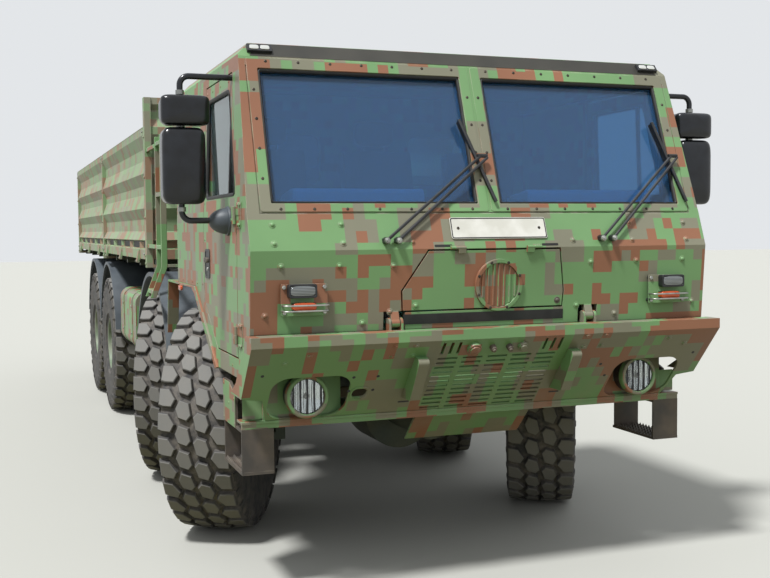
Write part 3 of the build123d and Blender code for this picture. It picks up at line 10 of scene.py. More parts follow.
import bmesh
import bpy
import numpy as np
from mathutils import Matrix, Vector


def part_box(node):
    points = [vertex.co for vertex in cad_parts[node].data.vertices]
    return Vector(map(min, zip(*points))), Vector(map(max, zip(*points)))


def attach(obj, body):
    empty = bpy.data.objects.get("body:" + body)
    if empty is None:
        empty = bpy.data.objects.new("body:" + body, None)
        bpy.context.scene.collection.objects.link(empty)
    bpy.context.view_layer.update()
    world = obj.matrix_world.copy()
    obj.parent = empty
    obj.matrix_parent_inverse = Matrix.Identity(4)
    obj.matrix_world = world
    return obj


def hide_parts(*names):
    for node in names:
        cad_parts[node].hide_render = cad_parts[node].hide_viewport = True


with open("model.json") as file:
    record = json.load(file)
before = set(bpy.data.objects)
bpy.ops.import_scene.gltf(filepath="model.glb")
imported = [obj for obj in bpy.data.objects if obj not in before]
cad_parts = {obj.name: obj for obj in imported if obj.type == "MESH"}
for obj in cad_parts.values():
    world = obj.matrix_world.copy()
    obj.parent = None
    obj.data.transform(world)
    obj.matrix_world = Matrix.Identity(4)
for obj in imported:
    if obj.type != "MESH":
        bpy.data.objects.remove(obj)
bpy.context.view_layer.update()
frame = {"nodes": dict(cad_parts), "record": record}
nodes = frame["nodes"]
AXLE_1 = -3.266
HANDS = ((1, "left"), (-1, "right"))
UP, FRONT, REAR, LEFT = (0, 0, 1), (0, -1, 0), (0, 1, 0), (1, 0, 0)

# %% [markdown]
# ## Small tools
# Shapes are arrays of points with lists of faces. `grid_faces` joins a grid of points into
# quads, `revolved` turns a profile round the X axis, `swept` carries a section along a
# path, and `scattered` repeats one small mesh at many places. Each finished piece stays
# at the origin with its place in its mesh, as the solids of the frame do. Blender's own
# primitives would do for many of these, but arrays keep every measure in sight and give
# the same mesh on each run.

# %% Tools for meshes
def grid_faces(rows, columns, close_rows=False, close_columns=False):
    """Quads between neighbouring points of a rows by columns grid; a closed way joins its ends."""
    r = np.arange(rows if close_rows else rows - 1)[:, None]
    c = np.arange(columns if close_columns else columns - 1)[None, :]
    r2, c2 = (r + 1) % rows, (c + 1) % columns
    corners = [r * columns + c, r * columns + c2, r2 * columns + c2, r2 * columns + c]
    return np.stack(np.broadcast_arrays(*corners), axis=-1).reshape(-1, 4).tolist()


def joined(parts):
    """Several (points, faces) shapes as one; a face is a row of corner numbers."""
    points, faces, start = [], [], 0
    for p, f in parts:
        points.append(np.asarray(p, float).reshape(-1, 3))
        faces += [[k + start for k in row] for row in f]
        start += len(points[-1])
    return np.concatenate(points), faces


def revolved(profile, turns=48):
    """A profile of (x, r) points turned round X: (x, r cos t, r sin t) over a grid of x, t."""
    profile = np.asarray(profile, float)
    t = np.linspace(0, 2 * np.pi, turns, endpoint=False)
    x = np.repeat(profile[:, :1], turns, axis=1)
    points = np.stack([x, profile[:, 1:] * np.cos(t), profile[:, 1:] * np.sin(t)], axis=-1)
    return points.reshape(-1, 3), grid_faces(len(profile), turns, close_columns=True)


def lathe(profile, turns=16):
    """A profile of (r, z) points turned round Z and closed where r is 0: a knob, bolt or ring."""
    points, faces = revolved([(z, r) for r, z in profile], turns)
    return points[:, [1, 2, 0]], faces


def swept(path, section, closed=False, up=UP):
    """A flat section carried along a path: point = path + a * across + b * over, where across
    and over are square to the path. The ends of an open path are capped."""
    path, section = np.asarray(path, float), np.asarray(section, float)
    ahead = np.roll(path, -1, 0) - np.roll(path, 1, 0)
    if not closed:
        ahead[0], ahead[-1] = path[1] - path[0], path[-1] - path[-2]
    ahead /= np.linalg.norm(ahead, axis=1, keepdims=True)
    across = np.cross(ahead, np.asarray(up, float))
    across /= np.maximum(np.linalg.norm(across, axis=1, keepdims=True), 1e-9)
    over = np.cross(across, ahead)
    points = path[:, None] + section[:, :1] * across[:, None] + section[:, 1:] * over[:, None]
    n, m = len(path), len(section)
    faces = grid_faces(n, m, close_rows=closed, close_columns=True)
    if not closed:
        faces += [list(range(m))[::-1], [(n - 1) * m + k for k in range(m)]]
    return points.reshape(-1, 3), faces


def round_section(radius, count=10):
    """A circle of that radius as a section."""
    t = np.linspace(0, 2 * np.pi, count, endpoint=False)
    return np.stack([radius * np.cos(t), radius * np.sin(t)], axis=1)


def wire(path, radius, sides=8, closed=False, up=UP):
    """A round bar along a path."""
    return swept(path, round_section(radius, sides), closed, up)


def block(low, high):
    """A box between two corners: the eight corners of a 2 by 2 by 2 grid."""
    low, high = np.asarray(low, float), np.asarray(high, float)
    k = np.array([[i & 1, i >> 1 & 1, i >> 2 & 1] for i in range(8)])
    faces = [[0, 2, 3, 1], [4, 5, 7, 6], [0, 1, 5, 4], [2, 6, 7, 3], [0, 4, 6, 2], [1, 3, 7, 5]]
    return low + k * (high - low), faces


def directions(normal, right=None):
    """A flat part's normal, right and over, square to each other and one unit long. Right is
    along X, or along Y where the part looks sideways."""
    normal = np.asarray(normal, float) / np.linalg.norm(normal)
    if right is None:
        right = (0, 1, 0) if abs(normal[0]) > 0.9 else (1, 0, 0)
    right = np.asarray(right, float)
    right = right - normal * (right @ normal)
    right /= np.linalg.norm(right)
    return normal, right, np.cross(normal, right)


def laid(outline, normal, origin=(0, 0, 0), right=None):
    """A flat outline in space: p = origin + u * right + v * over."""
    _, right, over = directions(normal, right)
    flat = np.asarray(outline, float)
    return np.asarray(origin, float) + flat[:, :1] * right + flat[:, 1:] * over


def plate(outline, normal, thick, origin=(0, 0, 0), right=None):
    """A flat outline, given a thickness along its normal."""
    base = laid(outline, normal, origin, right)
    n = len(base)
    faces = [[k, (k + 1) % n, n + (k + 1) % n, n + k] for k in range(n)]
    faces += [list(range(n))[::-1], list(range(n, 2 * n))]
    return np.concatenate([base, base + thick * directions(normal)[0]]), faces


def turned(axis_to, points):
    """Points made along +Z, turned so that Z lies along axis_to."""
    z = np.asarray(axis_to, float) / np.linalg.norm(axis_to)
    helper = np.array([0, 0, 1.0]) if abs(z[2]) < 0.9 else np.array([1.0, 0, 0])
    x = np.cross(helper, z)
    x /= np.linalg.norm(x)
    return np.asarray(points) @ np.stack([x, np.cross(z, x), z])


def scattered(shape, places, way):
    """One shape made along +Z, set at many places and facing one way."""
    points, faces = np.asarray(shape[0], float), shape[1]
    places = np.asarray(places, float).reshape(-1, 3)
    spread = turned(way, points)[None] + places[:, None]
    steps = (np.arange(len(places)) * len(points)).tolist()
    return spread.reshape(-1, 3), [[k + step for k in f] for step in steps for f in faces]


# %% [markdown]
# A mesh gets its points and faces from those arrays in one go. Doubled points at poles
# are merged, so that seams and poles are closed, and the faces then point outwards.


def piece(name, shape, material, body="chassis", smooth=30, bevel=0, merge=True, slot=None):
    """Makes a piece from (points, faces), paints it, and lets it ride on a body."""
    points, faces = shape
    mesh = bpy.data.meshes.new(name)
    mesh.from_pydata(np.asarray(points, float).tolist(), [], faces)
    if merge:
        work = bmesh.new()
        work.from_mesh(mesh)
        bmesh.ops.remove_doubles(work, verts=work.verts, dist=1e-5)
        bmesh.ops.recalc_face_normals(work, faces=work.faces)
        work.to_mesh(mesh)
        work.free()
    obj = bpy.data.objects.new(name, mesh)
    bpy.context.scene.collection.objects.link(obj)
    mesh.materials.append(material)
    if smooth:
        mesh.shade_smooth()
        mesh.set_sharp_from_angle(angle=np.radians(smooth))
    if bevel:
        edges = obj.modifiers.new("rounded edges", "BEVEL")
        edges.width, edges.segments, edges.limit_method = bevel, 2, "ANGLE"
        edges.angle_limit = np.radians(40)
    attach(obj, body)
    return obj


def many(name, shape, places, way, material, body="chassis", **how):
    """One small shape at many places, facing one way, as one piece."""
    return piece(name, scattered(shape, places, way), material, body, **how)


# %% [markdown]
# ## Paints and materials
# Colours are written as sRGB hex values, as a paint chart would give them, and one
# function turns them to the linear values that a shader wants.

# %% Tools for materials
def linear(code, alpha=1.0):
    """An sRGB hex colour as linear RGBA."""
    c = np.array([int(code[k:k + 2], 16) for k in (1, 3, 5)]) / 255
    c = np.where(c <= 0.04045, c / 12.92, ((c + 0.055) / 1.055) ** 2.4)
    return (*c.tolist(), alpha)


def plug(tree, node, inputs):
    """Sets a node's inputs to plain values, or links them to the outputs of other nodes."""
    for key, value in inputs.items():
        if isinstance(value, bpy.types.NodeSocket):
            tree.links.new(value, node.inputs[key])
        else:
            node.inputs[key].default_value = value


def add(tree, kind, inputs=None, take=0, **settings):
    """Adds a node with its settings and inputs, and gives back one of its outputs."""
    node = tree.nodes.new("ShaderNode" + kind)
    for key, value in settings.items():
        setattr(node, key, value)
    plug(tree, node, inputs or {})
    return node.outputs[take]


def surface(name, colour="#808080", roughness=0.5, metallic=0.0, slot="camouflage_steel", **more):
    """A new material: its tree and its main shader, with constant values set on the shader."""
    material = bpy.data.materials.new(name)
    material.use_nodes = True
    tree = material.node_tree
    shader = tree.nodes["Principled BSDF"]
    plug(tree, shader, {"Base Color": linear(colour), "Roughness": roughness, "Metallic": metallic})
    plug(tree, shader, {key.replace("_", " "): value for key, value in more.items()})
    return material, tree, shader


def worn(tree, colour, bare, reach=0.004, amount=0.55):
    """Edges rubbed to a paler tone: the normal of a rounded copy of the surface differs from
    the flat one only beside an edge, and the difference, broken by noise, mixes the tone in."""
    round_normal = add(tree, "Bevel", {"Radius": reach}, samples=4)
    flat = add(tree, "NewGeometry", take="True Normal")
    same = add(tree, "VectorMath", {0: round_normal, 1: flat}, take="Value", operation="DOT_PRODUCT")
    edge = add(tree, "MapRange", {0: same, 1: 0.995, 2: 0.90})
    place = add(tree, "TexCoord", take="Object")
    broken = add(tree, "TexNoise", {"Vector": place, "Scale": 9.0, "Detail": 6.0})
    broken = add(tree, "MapRange", {0: broken, 1: 0.45, 2: 0.62, 4: amount})
    share = add(tree, "Math", {0: edge, 1: broken}, operation="MULTIPLY")
    return add(tree, "MixRGB", {0: share, 1: colour, 2: linear(bare)})


def mottled(name, slot, colours, size, gloss, bump, grain, soft=0.1, edge=None, metallic=0.0, **more):
    """A material whose colour and gloss drift between two values over patches of a real size
    in metres, with a fine bump and, where edge is given, paler worn edges. The grain of the
    bump is drawn at 1 to 6 mm, several times its real size, because it wouldn't show else."""
    material, tree, shader = surface(name, colours[0], gloss[0], metallic, slot, **more)
    place = add(tree, "TexCoord", take="Object")
    drift = add(tree, "TexNoise", {"Vector": place, "Scale": 1 / size, "Detail": 5.0})
    step = add(tree, "MapRange", {0: drift, 1: 0.5 - soft, 2: 0.5 + soft})
    colour = add(tree, "MixRGB", {0: step, 1: linear(colours[0]), 2: linear(colours[1])})
    if edge:
        colour = worn(tree, colour, edge)
    roughness = add(tree, "MapRange", {0: drift, 3: gloss[0], 4: gloss[1]})
    grit = add(tree, "TexNoise", {"Vector": place, "Scale": 1 / grain, "Detail": 3.0})
    relief = add(tree, "Bump", {"Height": grit, "Strength": 0.4, "Distance": bump})
    plug(tree, shader, {"Base Color": colour, "Roughness": roughness, "Normal": relief})
    return material


def fluted(tree, shader, scale, strength, depth, distortion=0.0):
    """Fine flutes, as moulded into a lens or pressed into a lamp's bowl: a wave as bump."""
    place = add(tree, "TexCoord", take="Object")
    wave = {"Vector": place, "Scale": scale, "Distortion": distortion}
    flutes = add(tree, "TexWave", wave, take="Fac")
    relief = add(tree, "Bump", {"Height": flutes, "Strength": strength, "Distance": depth})
    plug(tree, shader, {"Normal": relief})


# %% [markdown]
# ### Camouflage paint on sheet steel
# The real pattern is sprayed through square stencils: mid green, with patches of grey tan
# and brick brown, all made of 56 mm squares. Noise read at whole steps of 56 mm gives
# such patches. A face that looks sideways reads (y, z), one that looks up reads (x, y)
# and any other reads (x, z), so the squares stay square on every panel. Alkyd paint of
# this kind is satin: roughness about 0.45, with a faint orange-peel bump. A painted image
# would have to be unwrapped and would blur up close; this rule needs neither.

# %% Camouflage paint
SQUARE = 0.056
GREEN, TAN, BROWN = "#6a9060", "#777664", "#875b43"
ROAD_DUST, BARE_EDGE = "#8a8070", "#b9b7a4"


def camouflage(name, shift=0.0, roughness=0.46):
    """Squares of three colours by box projection, as the cell above tells."""
    material, tree, shader = surface(name, roughness=roughness)
    source = add(tree, "TexCoord").node.outputs
    surface_place = source["Object"]
    place = add(tree, "SeparateXYZ", {0: surface_place}).node.outputs
    looks = add(tree, "SeparateXYZ", {0: source["Normal"]}).node.outputs

    def steeper(value, limit):
        """1 where the value's size is over the limit."""
        size = add(tree, "Math", {0: value}, operation="ABSOLUTE")
        return add(tree, "Math", {0: size, 1: limit}, operation="GREATER_THAN")

    sideways, up = steeper(looks[0], 0.75), steeper(looks[2], 0.85)
    across = add(tree, "Mix", {0: sideways, 2: place[0], 3: place[1]})
    over = add(tree, "Mix", {0: up, 2: place[2], 3: place[1]})
    cell = []
    for way in (across, over):
        steps = add(tree, "Math", {0: way, 1: SQUARE}, operation="DIVIDE")
        cell.append(add(tree, "Math", {0: steps}, operation="FLOOR"))
    hand = add(tree, "Math", {0: place[0], 1: 0.0}, operation="GREATER_THAN")
    side = add(tree, "Math", {0: sideways, 1: hand}, operation="MULTIPLY")
    page = add(tree, "Math", {0: side, 1: 37.0, 2: shift}, operation="MULTIPLY_ADD")
    page = add(tree, "Math", {0: up, 1: 71.0, 2: page}, operation="MULTIPLY_ADD")
    squares = add(tree, "CombineXYZ", {0: cell[0], 1: cell[1], 2: page})
    moved = add(tree, "VectorMath", {0: squares, 1: (61.0, 23.0, 9.0)}, operation="ADD")

    def patch(where, limit):
        """1 inside patches: a broad noise with a little chance in every square."""
        broad = {"Vector": where, "Scale": 0.25, "Detail": 1.5, "Roughness": 0.6}
        broad = add(tree, "TexNoise", broad)
        loose = add(tree, "TexWhiteNoise", {"Vector": where})
        both = add(tree, "Math", {0: loose, 1: 0.13, 2: broad}, operation="MULTIPLY_ADD")
        return add(tree, "Math", {0: both, 1: limit}, operation="GREATER_THAN")

    colour = add(tree, "MixRGB", {0: patch(moved, 0.590), 1: linear(GREEN), 2: linear(TAN)})
    colour = add(tree, "MixRGB", {0: patch(squares, 0.625), 1: colour, 2: linear(BROWN)})
    fade = add(tree, "TexNoise", {"Vector": surface_place, "Scale": 1.7, "Detail": 6.0})
    value = add(tree, "MapRange", {0: fade, 1: 0.3, 2: 0.7, 3: 0.90, 4: 1.08})
    colour = add(tree, "HueSaturation", {"Value": value, "Color": colour})
    low_down = add(tree, "MapRange", {0: place[2], 1: 1.15, 2: 0.55, 4: 0.5})
    streaks = add(tree, "TexNoise", {"Vector": surface_place, "Scale": 7.0, "Detail": 8.0})
    streaks = add(tree, "MapRange", {0: streaks, 1: 0.42, 2: 0.66})
    dust = add(tree, "Math", {0: low_down, 1: streaks}, operation="MULTIPLY")
    colour = add(tree, "MixRGB", {0: dust, 1: colour, 2: linear(ROAD_DUST)})
    colour = worn(tree, colour, BARE_EDGE, 0.003, 0.7)
    gloss = {0: fade, 1: 0.3, 2: 0.7, 3: roughness - 0.06, 4: roughness + 0.08}
    gloss = add(tree, "MapRange", gloss)
    # orange peel is about 1 mm wide, and drawn at 4 mm so that it shows
    peel = add(tree, "TexNoise", {"Vector": surface_place, "Scale": 260.0, "Detail": 2.0})
    rounding = add(tree, "Bevel", {"Radius": 0.0035}, samples=4)
    relief = {"Height": peel, "Strength": 0.12, "Distance": 0.0006, "Normal": rounding}
    relief = add(tree, "Bump", relief)
    plug(tree, shader, {"Base Color": colour, "Roughness": gloss, "Normal": relief})
    return material


camouflage_paint = camouflage("camouflage_paint")
print("nodes in the camouflage:", len(camouflage_paint.node_tree.nodes))

# %% [markdown]
# ### The other finishes
# Frame and axles carry a dull dark green chassis paint that road dust dulls further.
# Mirrors and wipers are moulded black polypropylene, mudguards a blue-grey polyethylene.
# Lamps are clear or amber polycarbonate over a bright reflector, and small fittings are
# zinc-plated. Each row gives the two colours, the patch size, the roughness from and to,
# the bump's height and its grain, all lengths in metres.

# %% Chassis paint, plastics, metals
# sprayed paint under road dust: nearly matt, and paler where edges are rubbed
chassis_paint = mottled(
    "chassis_paint", "chassis_paint", ("#2c3528", "#4a4d3e"), 0.25, (0.5, 0.75), 0.0008, 0.004, 0.16,
    "#6d6a5c",
)
# primed steel parts that gather dust: brown grey and dull
dark_steel = mottled(
    "dusty_dark_steel", "bare_grey", ("#3b3733", "#5c5248"), 0.16, (0.5, 0.75), 0.0008, 0.004, 0.16,
    "#8d8778",
)
# moulded with a fine grain: black with a soft sheen
black_plastic = mottled(
    "black_polypropylene", "black_plastic", ("#141517", "#222326"), 0.08, (0.38, 0.55), 0.0003, 0.0015,
)
# moulded and waxy: bluish, and dusty in large patches
guard_plastic = mottled(
    "blue_grey_polyethylene", "grey_plastic", ("#353c44", "#555c61"), 0.35, (0.42, 0.62), 0.0005, 0.003, 0.18,
)
# plated bolts and wires: a light metal that spreads its highlights
zinc = mottled(
    "zinc_plated_steel", "lamp_metal", ("#8b8d8a", "#abaca6"), 0.05, (0.30, 0.5), 0.0002, 0.001, metallic=0.9,
)
# extruded rubber profiles: nearly black and without gloss; the same black is also painted shade in holes,
# slots, gaps and channels
rubber_and_shade_black = mottled(
    "black_rubber_and_painted_shade", "rubber_tyre", ("#101010", "#1e1e1d"), 0.06, (0.5, 0.7), 0.0002, 0.001,
)
# woven yarn: matt, with the pale sheen of fibres at a low angle
seat_cloth = mottled(
    "woven_seat_cover", "seat_cloth", ("#2b2d28", "#3c3e36"), 0.05, (0.85, 0.95), 0.0010, 0.002,
    Sheen_Weight=0.3,
)
# painted sheet inside the cab: even and satin
trim_green = mottled(
    "painted_cab_trim", "trim_green", ("#7a9672", "#88a27f"), 0.2, (0.5, 0.62), 0.0004, 0.002,
)
# cast in sand and oily since: dark, rough, with glossier patches
engine_grey = mottled(
    "oily_cast_iron", "bare_grey", ("#2a2a29", "#4b4843"), 0.12, (0.4, 0.7), 0.0015, 0.006, metallic=0.3,
)
# fired enamel on a steel plate: off-white and smooth
enamel = mottled(
    "white_enamel_plate", "lamp_metal", ("#c2c1b9", "#d0cfc9"), 0.1, (0.3, 0.45), 0.0002, 0.002,
)

# %% [markdown]
# Lenses are moulded polycarbonate, whose index is 1.58: a clear one lets the light through,
# dyed ones scatter most of it. A reflector bowl is plastic under a film of aluminium, with
# flutes that spread the beam, and a mirror is float glass silvered on its back. The flutes
# are too fine to be worth faces of their own, so they are a wave in the bump.

# %% Lenses, reflectors and mirror glass
LAMP = {"slot": "lamp_metal"}
COLOURED = {**LAMP, "Transmission_Weight": 0.25, "IOR": 1.58}
lamp_clear = surface("clear_polycarbonate", "#eef2f2", 0.08, Transmission_Weight=1.0, IOR=1.58, **LAMP)[0]
lamp_amber = surface("amber_polycarbonate", "#c4501c", 0.18, **COLOURED)[0]
lamp_red = surface("red_polycarbonate", "#a80f0c", 0.18, **COLOURED)[0]
mirror_silver = surface("silvered_mirror_glass", "#c9d0d2", 0.03, 1.0, **LAMP)[0]
reflector, tree, shader = surface("bright_reflector", "#d4d6d6", 0.12, 1.0, **LAMP)
fluted(tree, shader, 30.0, 0.5, 0.002, distortion=0.4)

# %% [markdown]
# Laminated cab glass is tinted grey-green at the doors. The windscreens carry a painted blue,
# the reflection of the open sky, and a film of dust breaks their gloss. A plain see-through mix
# would be cheaper, but real transmission keeps the reflections and lets the seats show.

# %% Cab glass
GLASS = {"slot": "tinted_glass", "IOR": 1.45}
cab_glass = surface("tinted_cab_glass", "#9fb6b8", 0.02, Transmission_Weight=0.90, **GLASS)[0]
# the windscreens' blue is a painted reflection of the open sky
screen_glass, tree, shader = surface(
    "windscreen_glass_with_painted_sky_blue", "#6496cc", 0.02, Transmission_Weight=0.84, **GLASS
)
place = add(tree, "TexCoord", take="Object")
grime = add(tree, "TexNoise", {"Vector": place, "Scale": 5.0, "Detail": 8.0})
plug(tree, shader, {"Roughness": add(tree, "MapRange", {0: grime, 1: 0.4, 2: 0.75, 3: 0.01, 4: 0.09})})

# %% [markdown]
# ### Tyre rubber
# Natural rubber with carbon black wears to a mid grey on the block tops, and dry clay
# stays in the channels. Each tyre carries a point value, `relief`, of 0 in the channels
# and 1 on top of a block. Dust could be painted by hand; this value puts it into every
# channel of all nine tyres at once.

# %% Tyre rubber
tyre_rubber, tree, shader = surface("dusty_tyre_rubber", "#3a3a3b", 0.8, slot="rubber_tyre")
relief = add(tree, "Attribute", take="Fac", attribute_name="relief")
place = add(tree, "TexCoord", take="Object")
cloud = {"Vector": place, "Scale": 14.0, "Detail": 8.0, "Roughness": 0.65}
cloud = add(tree, "TexNoise", cloud)
low = add(tree, "MapRange", {0: relief, 1: 0.0, 2: 0.85, 3: 0.62, 4: 0.16})
clay = add(tree, "MapRange", {0: cloud, 1: 0.38, 2: 0.64, 3: 0.05, 4: 1.1})
dust = add(tree, "Math", {0: low, 1: clay}, operation="MULTIPLY")
rubber = add(tree, "MixRGB", {0: cloud, 1: linear("#272729"), 2: linear("#39393a")})
top = add(tree, "MapRange", {0: relief, 1: 0.80, 2: 1.0, 4: 0.62})
rubber = add(tree, "MixRGB", {0: top, 1: rubber, 2: linear("#84837f")})
colour = add(tree, "MixRGB", {0: dust, 1: rubber, 2: linear("#7b746b")})
# the rubber's pores and cuts, drawn at 3 mm so that they show
grain = add(tree, "TexNoise", {"Vector": place, "Scale": 300.0, "Detail": 4.0})
pores = add(tree, "Bump", {"Height": grain, "Strength": 0.35, "Distance": 0.001})
plug(tree, shader, {"Base Color": worn(tree, colour, "#77746e", 0.003, 0.7), "Normal": pores})

# %% [markdown]
# ## Paint the solids
# Each solid of the frame keeps its shape and gets the finish of its real surface. The
# record's slot tells most of them; the exceptions are named here or beside their pieces.
# Nothing has to be unwrapped, because every finish reads Object coordinates.

# %% A finish for every node
finishes = {
    "camouflage_steel": camouflage_paint, "chassis_paint": chassis_paint, "rubber_tyre": tyre_rubber,
    "tinted_glass": cab_glass, "black_plastic": black_plastic, "grey_plastic": guard_plastic,
    "seat_cloth": seat_cloth, "trim_green": trim_green, "lamp_metal": reflector, "bare_grey": dark_steel,
}
own_finishes = {
    "engine": engine_grey, "headlamps": black_plastic, "front_lamps": black_plastic,
    "windscreens": screen_glass,
}
slots = {part["node"]: part["material_slot"] for part in frame["record"]["subparts"]}
for name, obj in nodes.items():
    obj.data.materials.clear()
    obj.data.materials.append(own_finishes.get(name, finishes[slots[name]]))
print("painted:", sorted(set(slots.values())))

# %% [markdown]
# ## Wheels
# A 16.00 R 20 cross-country tyre is 1.34 m across. Its tread has four staggered rows of
# six-sided blocks, 30 to a turn, on a carcass with a slight crown. Blocks are worked out
# on the flat tread first, as (across, along), and then wrapped: along becomes an angle,
# and height becomes radius. Every tyre is the same mesh, turned to its place.

# %% The carcass
TYRE_R, PITCHES, TURNS = 0.672, 30, 72


def crown(x):
    """Radius of the tread's top at x across: nearly flat, then falling at the shoulders."""
    return TYRE_R - 0.010 * (np.abs(x) / 0.17) ** 2.4


def wrapped(x, along, height):
    """Flat tread to tyre: the angle is along / radius, the radius is crown + height."""
    r, t = crown(x) + height, along / TYRE_R
    return np.stack(np.broadcast_arrays(x, r * np.cos(t), r * np.sin(t)), axis=-1)


carcass_profile = np.array([
    (0.160, 0.259), (0.176, 0.262), (0.186, 0.285), (0.190, 0.300), (0.200, 0.306), (0.203, 0.320),
    (0.200, 0.345), (0.206, 0.385), (0.2115, 0.430), (0.2135, 0.470), (0.2120, 0.510), (0.2135, 0.516),
    (0.2095, 0.560), (0.2030, 0.600), (0.1930, 0.628), (0.160, 0.6385), (0.080, 0.6455), (0.0, 0.6460),
])
carcass_profile = np.concatenate([carcass_profile, carcass_profile[-2::-1] * (-1, 1)])
carcass = revolved(carcass_profile, TURNS)
carcass_relief = np.repeat(np.where(carcass_profile[:, 1] < 0.6, 0.62, 0.0), TURNS)

# %% [markdown]
# The two inner rows and the two shoulder rows have outlines of their own, leaned over by a
# shear. A block rises through three levels, from a broad foot under the carcass to a top
# that is a little smaller, as a moulded lug has draft to leave its mould. Displacement
# would need far more faces for edges as crisp as these.

# %% The tread blocks
inner = np.array([
    (-0.046, -0.016), (-0.022, -0.046), (0.030, -0.044), (0.048, -0.004), (0.026, 0.043), (-0.030, 0.040),
])
shoulder = np.array([
    (-0.052, 0.004), (-0.030, -0.038), (0.022, -0.047), (0.049, -0.045), (0.049, 0.036), (-0.012, 0.045),
])
slant = np.array([[1.0, 0.28], [0.0, 1.2]])
inner, shoulder = inner @ slant, shoulder @ slant
rows = [(0.051, inner, 0.0), (-0.051, -inner, 0.5), (0.152, shoulder, 0.5), (-0.152, -shoulder, 0.0)]
starts = np.arange(PITCHES) * 2 * np.pi * TYRE_R / PITCHES
block_levels = [(1.10, -0.028), (1.0, -0.005), (0.88, 0.0)]
block_relief = [0.0, 0.8, 1.0]


def tread_row(middle, outline, phase):
    """One row: its outline at three levels, grown by a share and wrapped at a height."""
    along = starts[:, None] + phase * starts[1]
    rings = [
        wrapped(middle + outline[None, :, 0] * grow, along + outline[None, :, 1] * grow, height)
        for grow, height in block_levels
    ]
    return np.stack(rings, axis=1).reshape(-1, 3)


def repeated(faces, count, points_each):
    """The faces of one shape for each of count copies that follow one another."""
    return [[k + points_each * n for k in f] for n in range(count) for f in faces]


block_points = np.concatenate([tread_row(*row) for row in rows])
blocks = len(block_points) // 18
block_faces = repeated(grid_faces(3, 6, close_columns=True) + [list(range(12, 18))], blocks, 18)

# %% [markdown]
# Outside the shoulder blocks, ribs run down the sidewall to grip in ruts. Each is four
# trapezoids joined into a bar, and it is wrapped round the tyre as the blocks are.

# %% Ribs that run down the sidewall from each outer block, and the whole tyre
rib_side = np.repeat([1.0, -1.0], PITCHES)[:, None, None]
rib_angle = (np.concatenate([starts + 0.5 * starts[1], starts]) / TYRE_R)[:, None, None]
# four stations of (across, radius, half width), along the rib's top and along its foot
rib_top = np.array([
    (0.196, 0.650, 0.030), (0.206, 0.622, 0.026), (0.2142, 0.590, 0.018), (0.2125, 0.575, 0.014),
])
rib_foot = np.array([
    (0.180, 0.640, 0.034), (0.196, 0.615, 0.030), (0.206, 0.588, 0.022), (0.208, 0.570, 0.016),
])
other_side = (1, 1, -1)
rib = np.stack([rib_foot * other_side, rib_top * other_side, rib_top, rib_foot], axis=1)[None]
turn = rib_angle + rib[..., 2] / TYRE_R
rib_points = [rib[..., 0] * rib_side, rib[..., 1] * np.cos(turn), rib[..., 1] * np.sin(turn)]
rib_points = np.stack(rib_points, axis=-1).reshape(-1, 3)
rib_faces = repeated(grid_faces(4, 4) + [[12, 13, 14, 15], [3, 2, 1, 0]], 2 * PITCHES, 16)

tyre_shape = joined([carcass, (block_points, block_faces), (rib_points, rib_faces)])
tyre_relief = np.concatenate([
    carcass_relief, np.tile(np.repeat(block_relief, 6), blocks), np.full(len(rib_points), 0.7),
])
print("tyre:", len(tyre_shape[0]), "points,", len(tyre_shape[1]), "faces")

# %% [markdown]
# The rim is pressed steel: two flanges, a barrel, a dished disc held by ten nuts, and the
# hub's reduction housing in the middle with its ring of small bolts and a flat cap. All of
# it is pressed or turned, so a profile turned round the axle is the natural way. Nuts and
# bolts are small turned shapes of six sides, set on circles.

# %% The rim and its bolts
rim_front = [
    (0.176, 0.264), (0.182, 0.258), (0.176, 0.249), (0.158, 0.245), (0.120, 0.238), (0.085, 0.236),
    (0.078, 0.222), (0.088, 0.196), (0.091, 0.172), (0.088, 0.150), (0.100, 0.142), (0.128, 0.134),
    (0.146, 0.122), (0.152, 0.112), (0.160, 0.094), (0.164, 0.088), (0.164, 0.070), (0.160, 0.066),
    (0.160, 0.030), (0.166, 0.026), (0.168, 0.0),
]
rim_back = [
    (-0.176, 0.264), (-0.182, 0.258), (-0.172, 0.249), (0.02, 0.240), (0.045, 0.232), (0.055, 0.190),
    (0.040, 0.160), (0.040, 0.06),
]
brake_drum = [(-0.08, 0.06), (-0.08, 0.165), (-0.075, 0.175), (0.03, 0.180), (0.04, 0.16)]
rim_shape = joined([revolved(rim_front, 64), revolved(rim_back, 64), revolved(brake_drum, 48)])
wheel_nut = lathe([(0.0, 0.020), (0.010, 0.020), (0.013, 0.017), (0.013, 0.0)], 6)
stud = lathe([(0.0, 0.030), (0.005, 0.029), (0.006, 0.0)], 10)
washer = lathe([(0.019, 0.003), (0.020, 0.0)], 16)
hub_bolt = lathe([(0.0, 0.009), (0.006, 0.009), (0.008, 0.007), (0.008, 0.0)], 6)


def ring_of(count, radius, x, phase=0.0):
    """Places on a circle round the X axis."""
    t = np.arange(count) * 2 * np.pi / count + phase
    return np.stack([np.full(count, x), radius * np.cos(t), radius * np.sin(t)], axis=1)


bolt_shape = [scattered(s, ring_of(10, 0.172, 0.090), LEFT) for s in (wheel_nut, stud, washer)]
bolt_shape += [scattered(hub_bolt, ring_of(16, 0.128, 0.137, 0.1), LEFT)]
bolt_shape += [scattered(hub_bolt, ring_of(8, 0.048, 0.160, 0.2), LEFT)]
bolt_shape = joined(bolt_shape)
# rim paint: the cab's green, faded and chipped by stones, with clay dried on it
rim_paint = mottled(
    "green_rim_paint", "camouflage_steel", ("#5e7058", "#7f8674"), 0.22, (0.42, 0.68), 0.0006, 0.003, 0.14,
    "#a9a894",
)


# %% [markdown]
# The front wheels are turned, 28 degrees on the first axle and 20 on the second, about
# kingpins 0.900 m from the middle. Linked copies would save memory, but a finished piece
# keeps its place in its own mesh, so every wheel gets its own points.

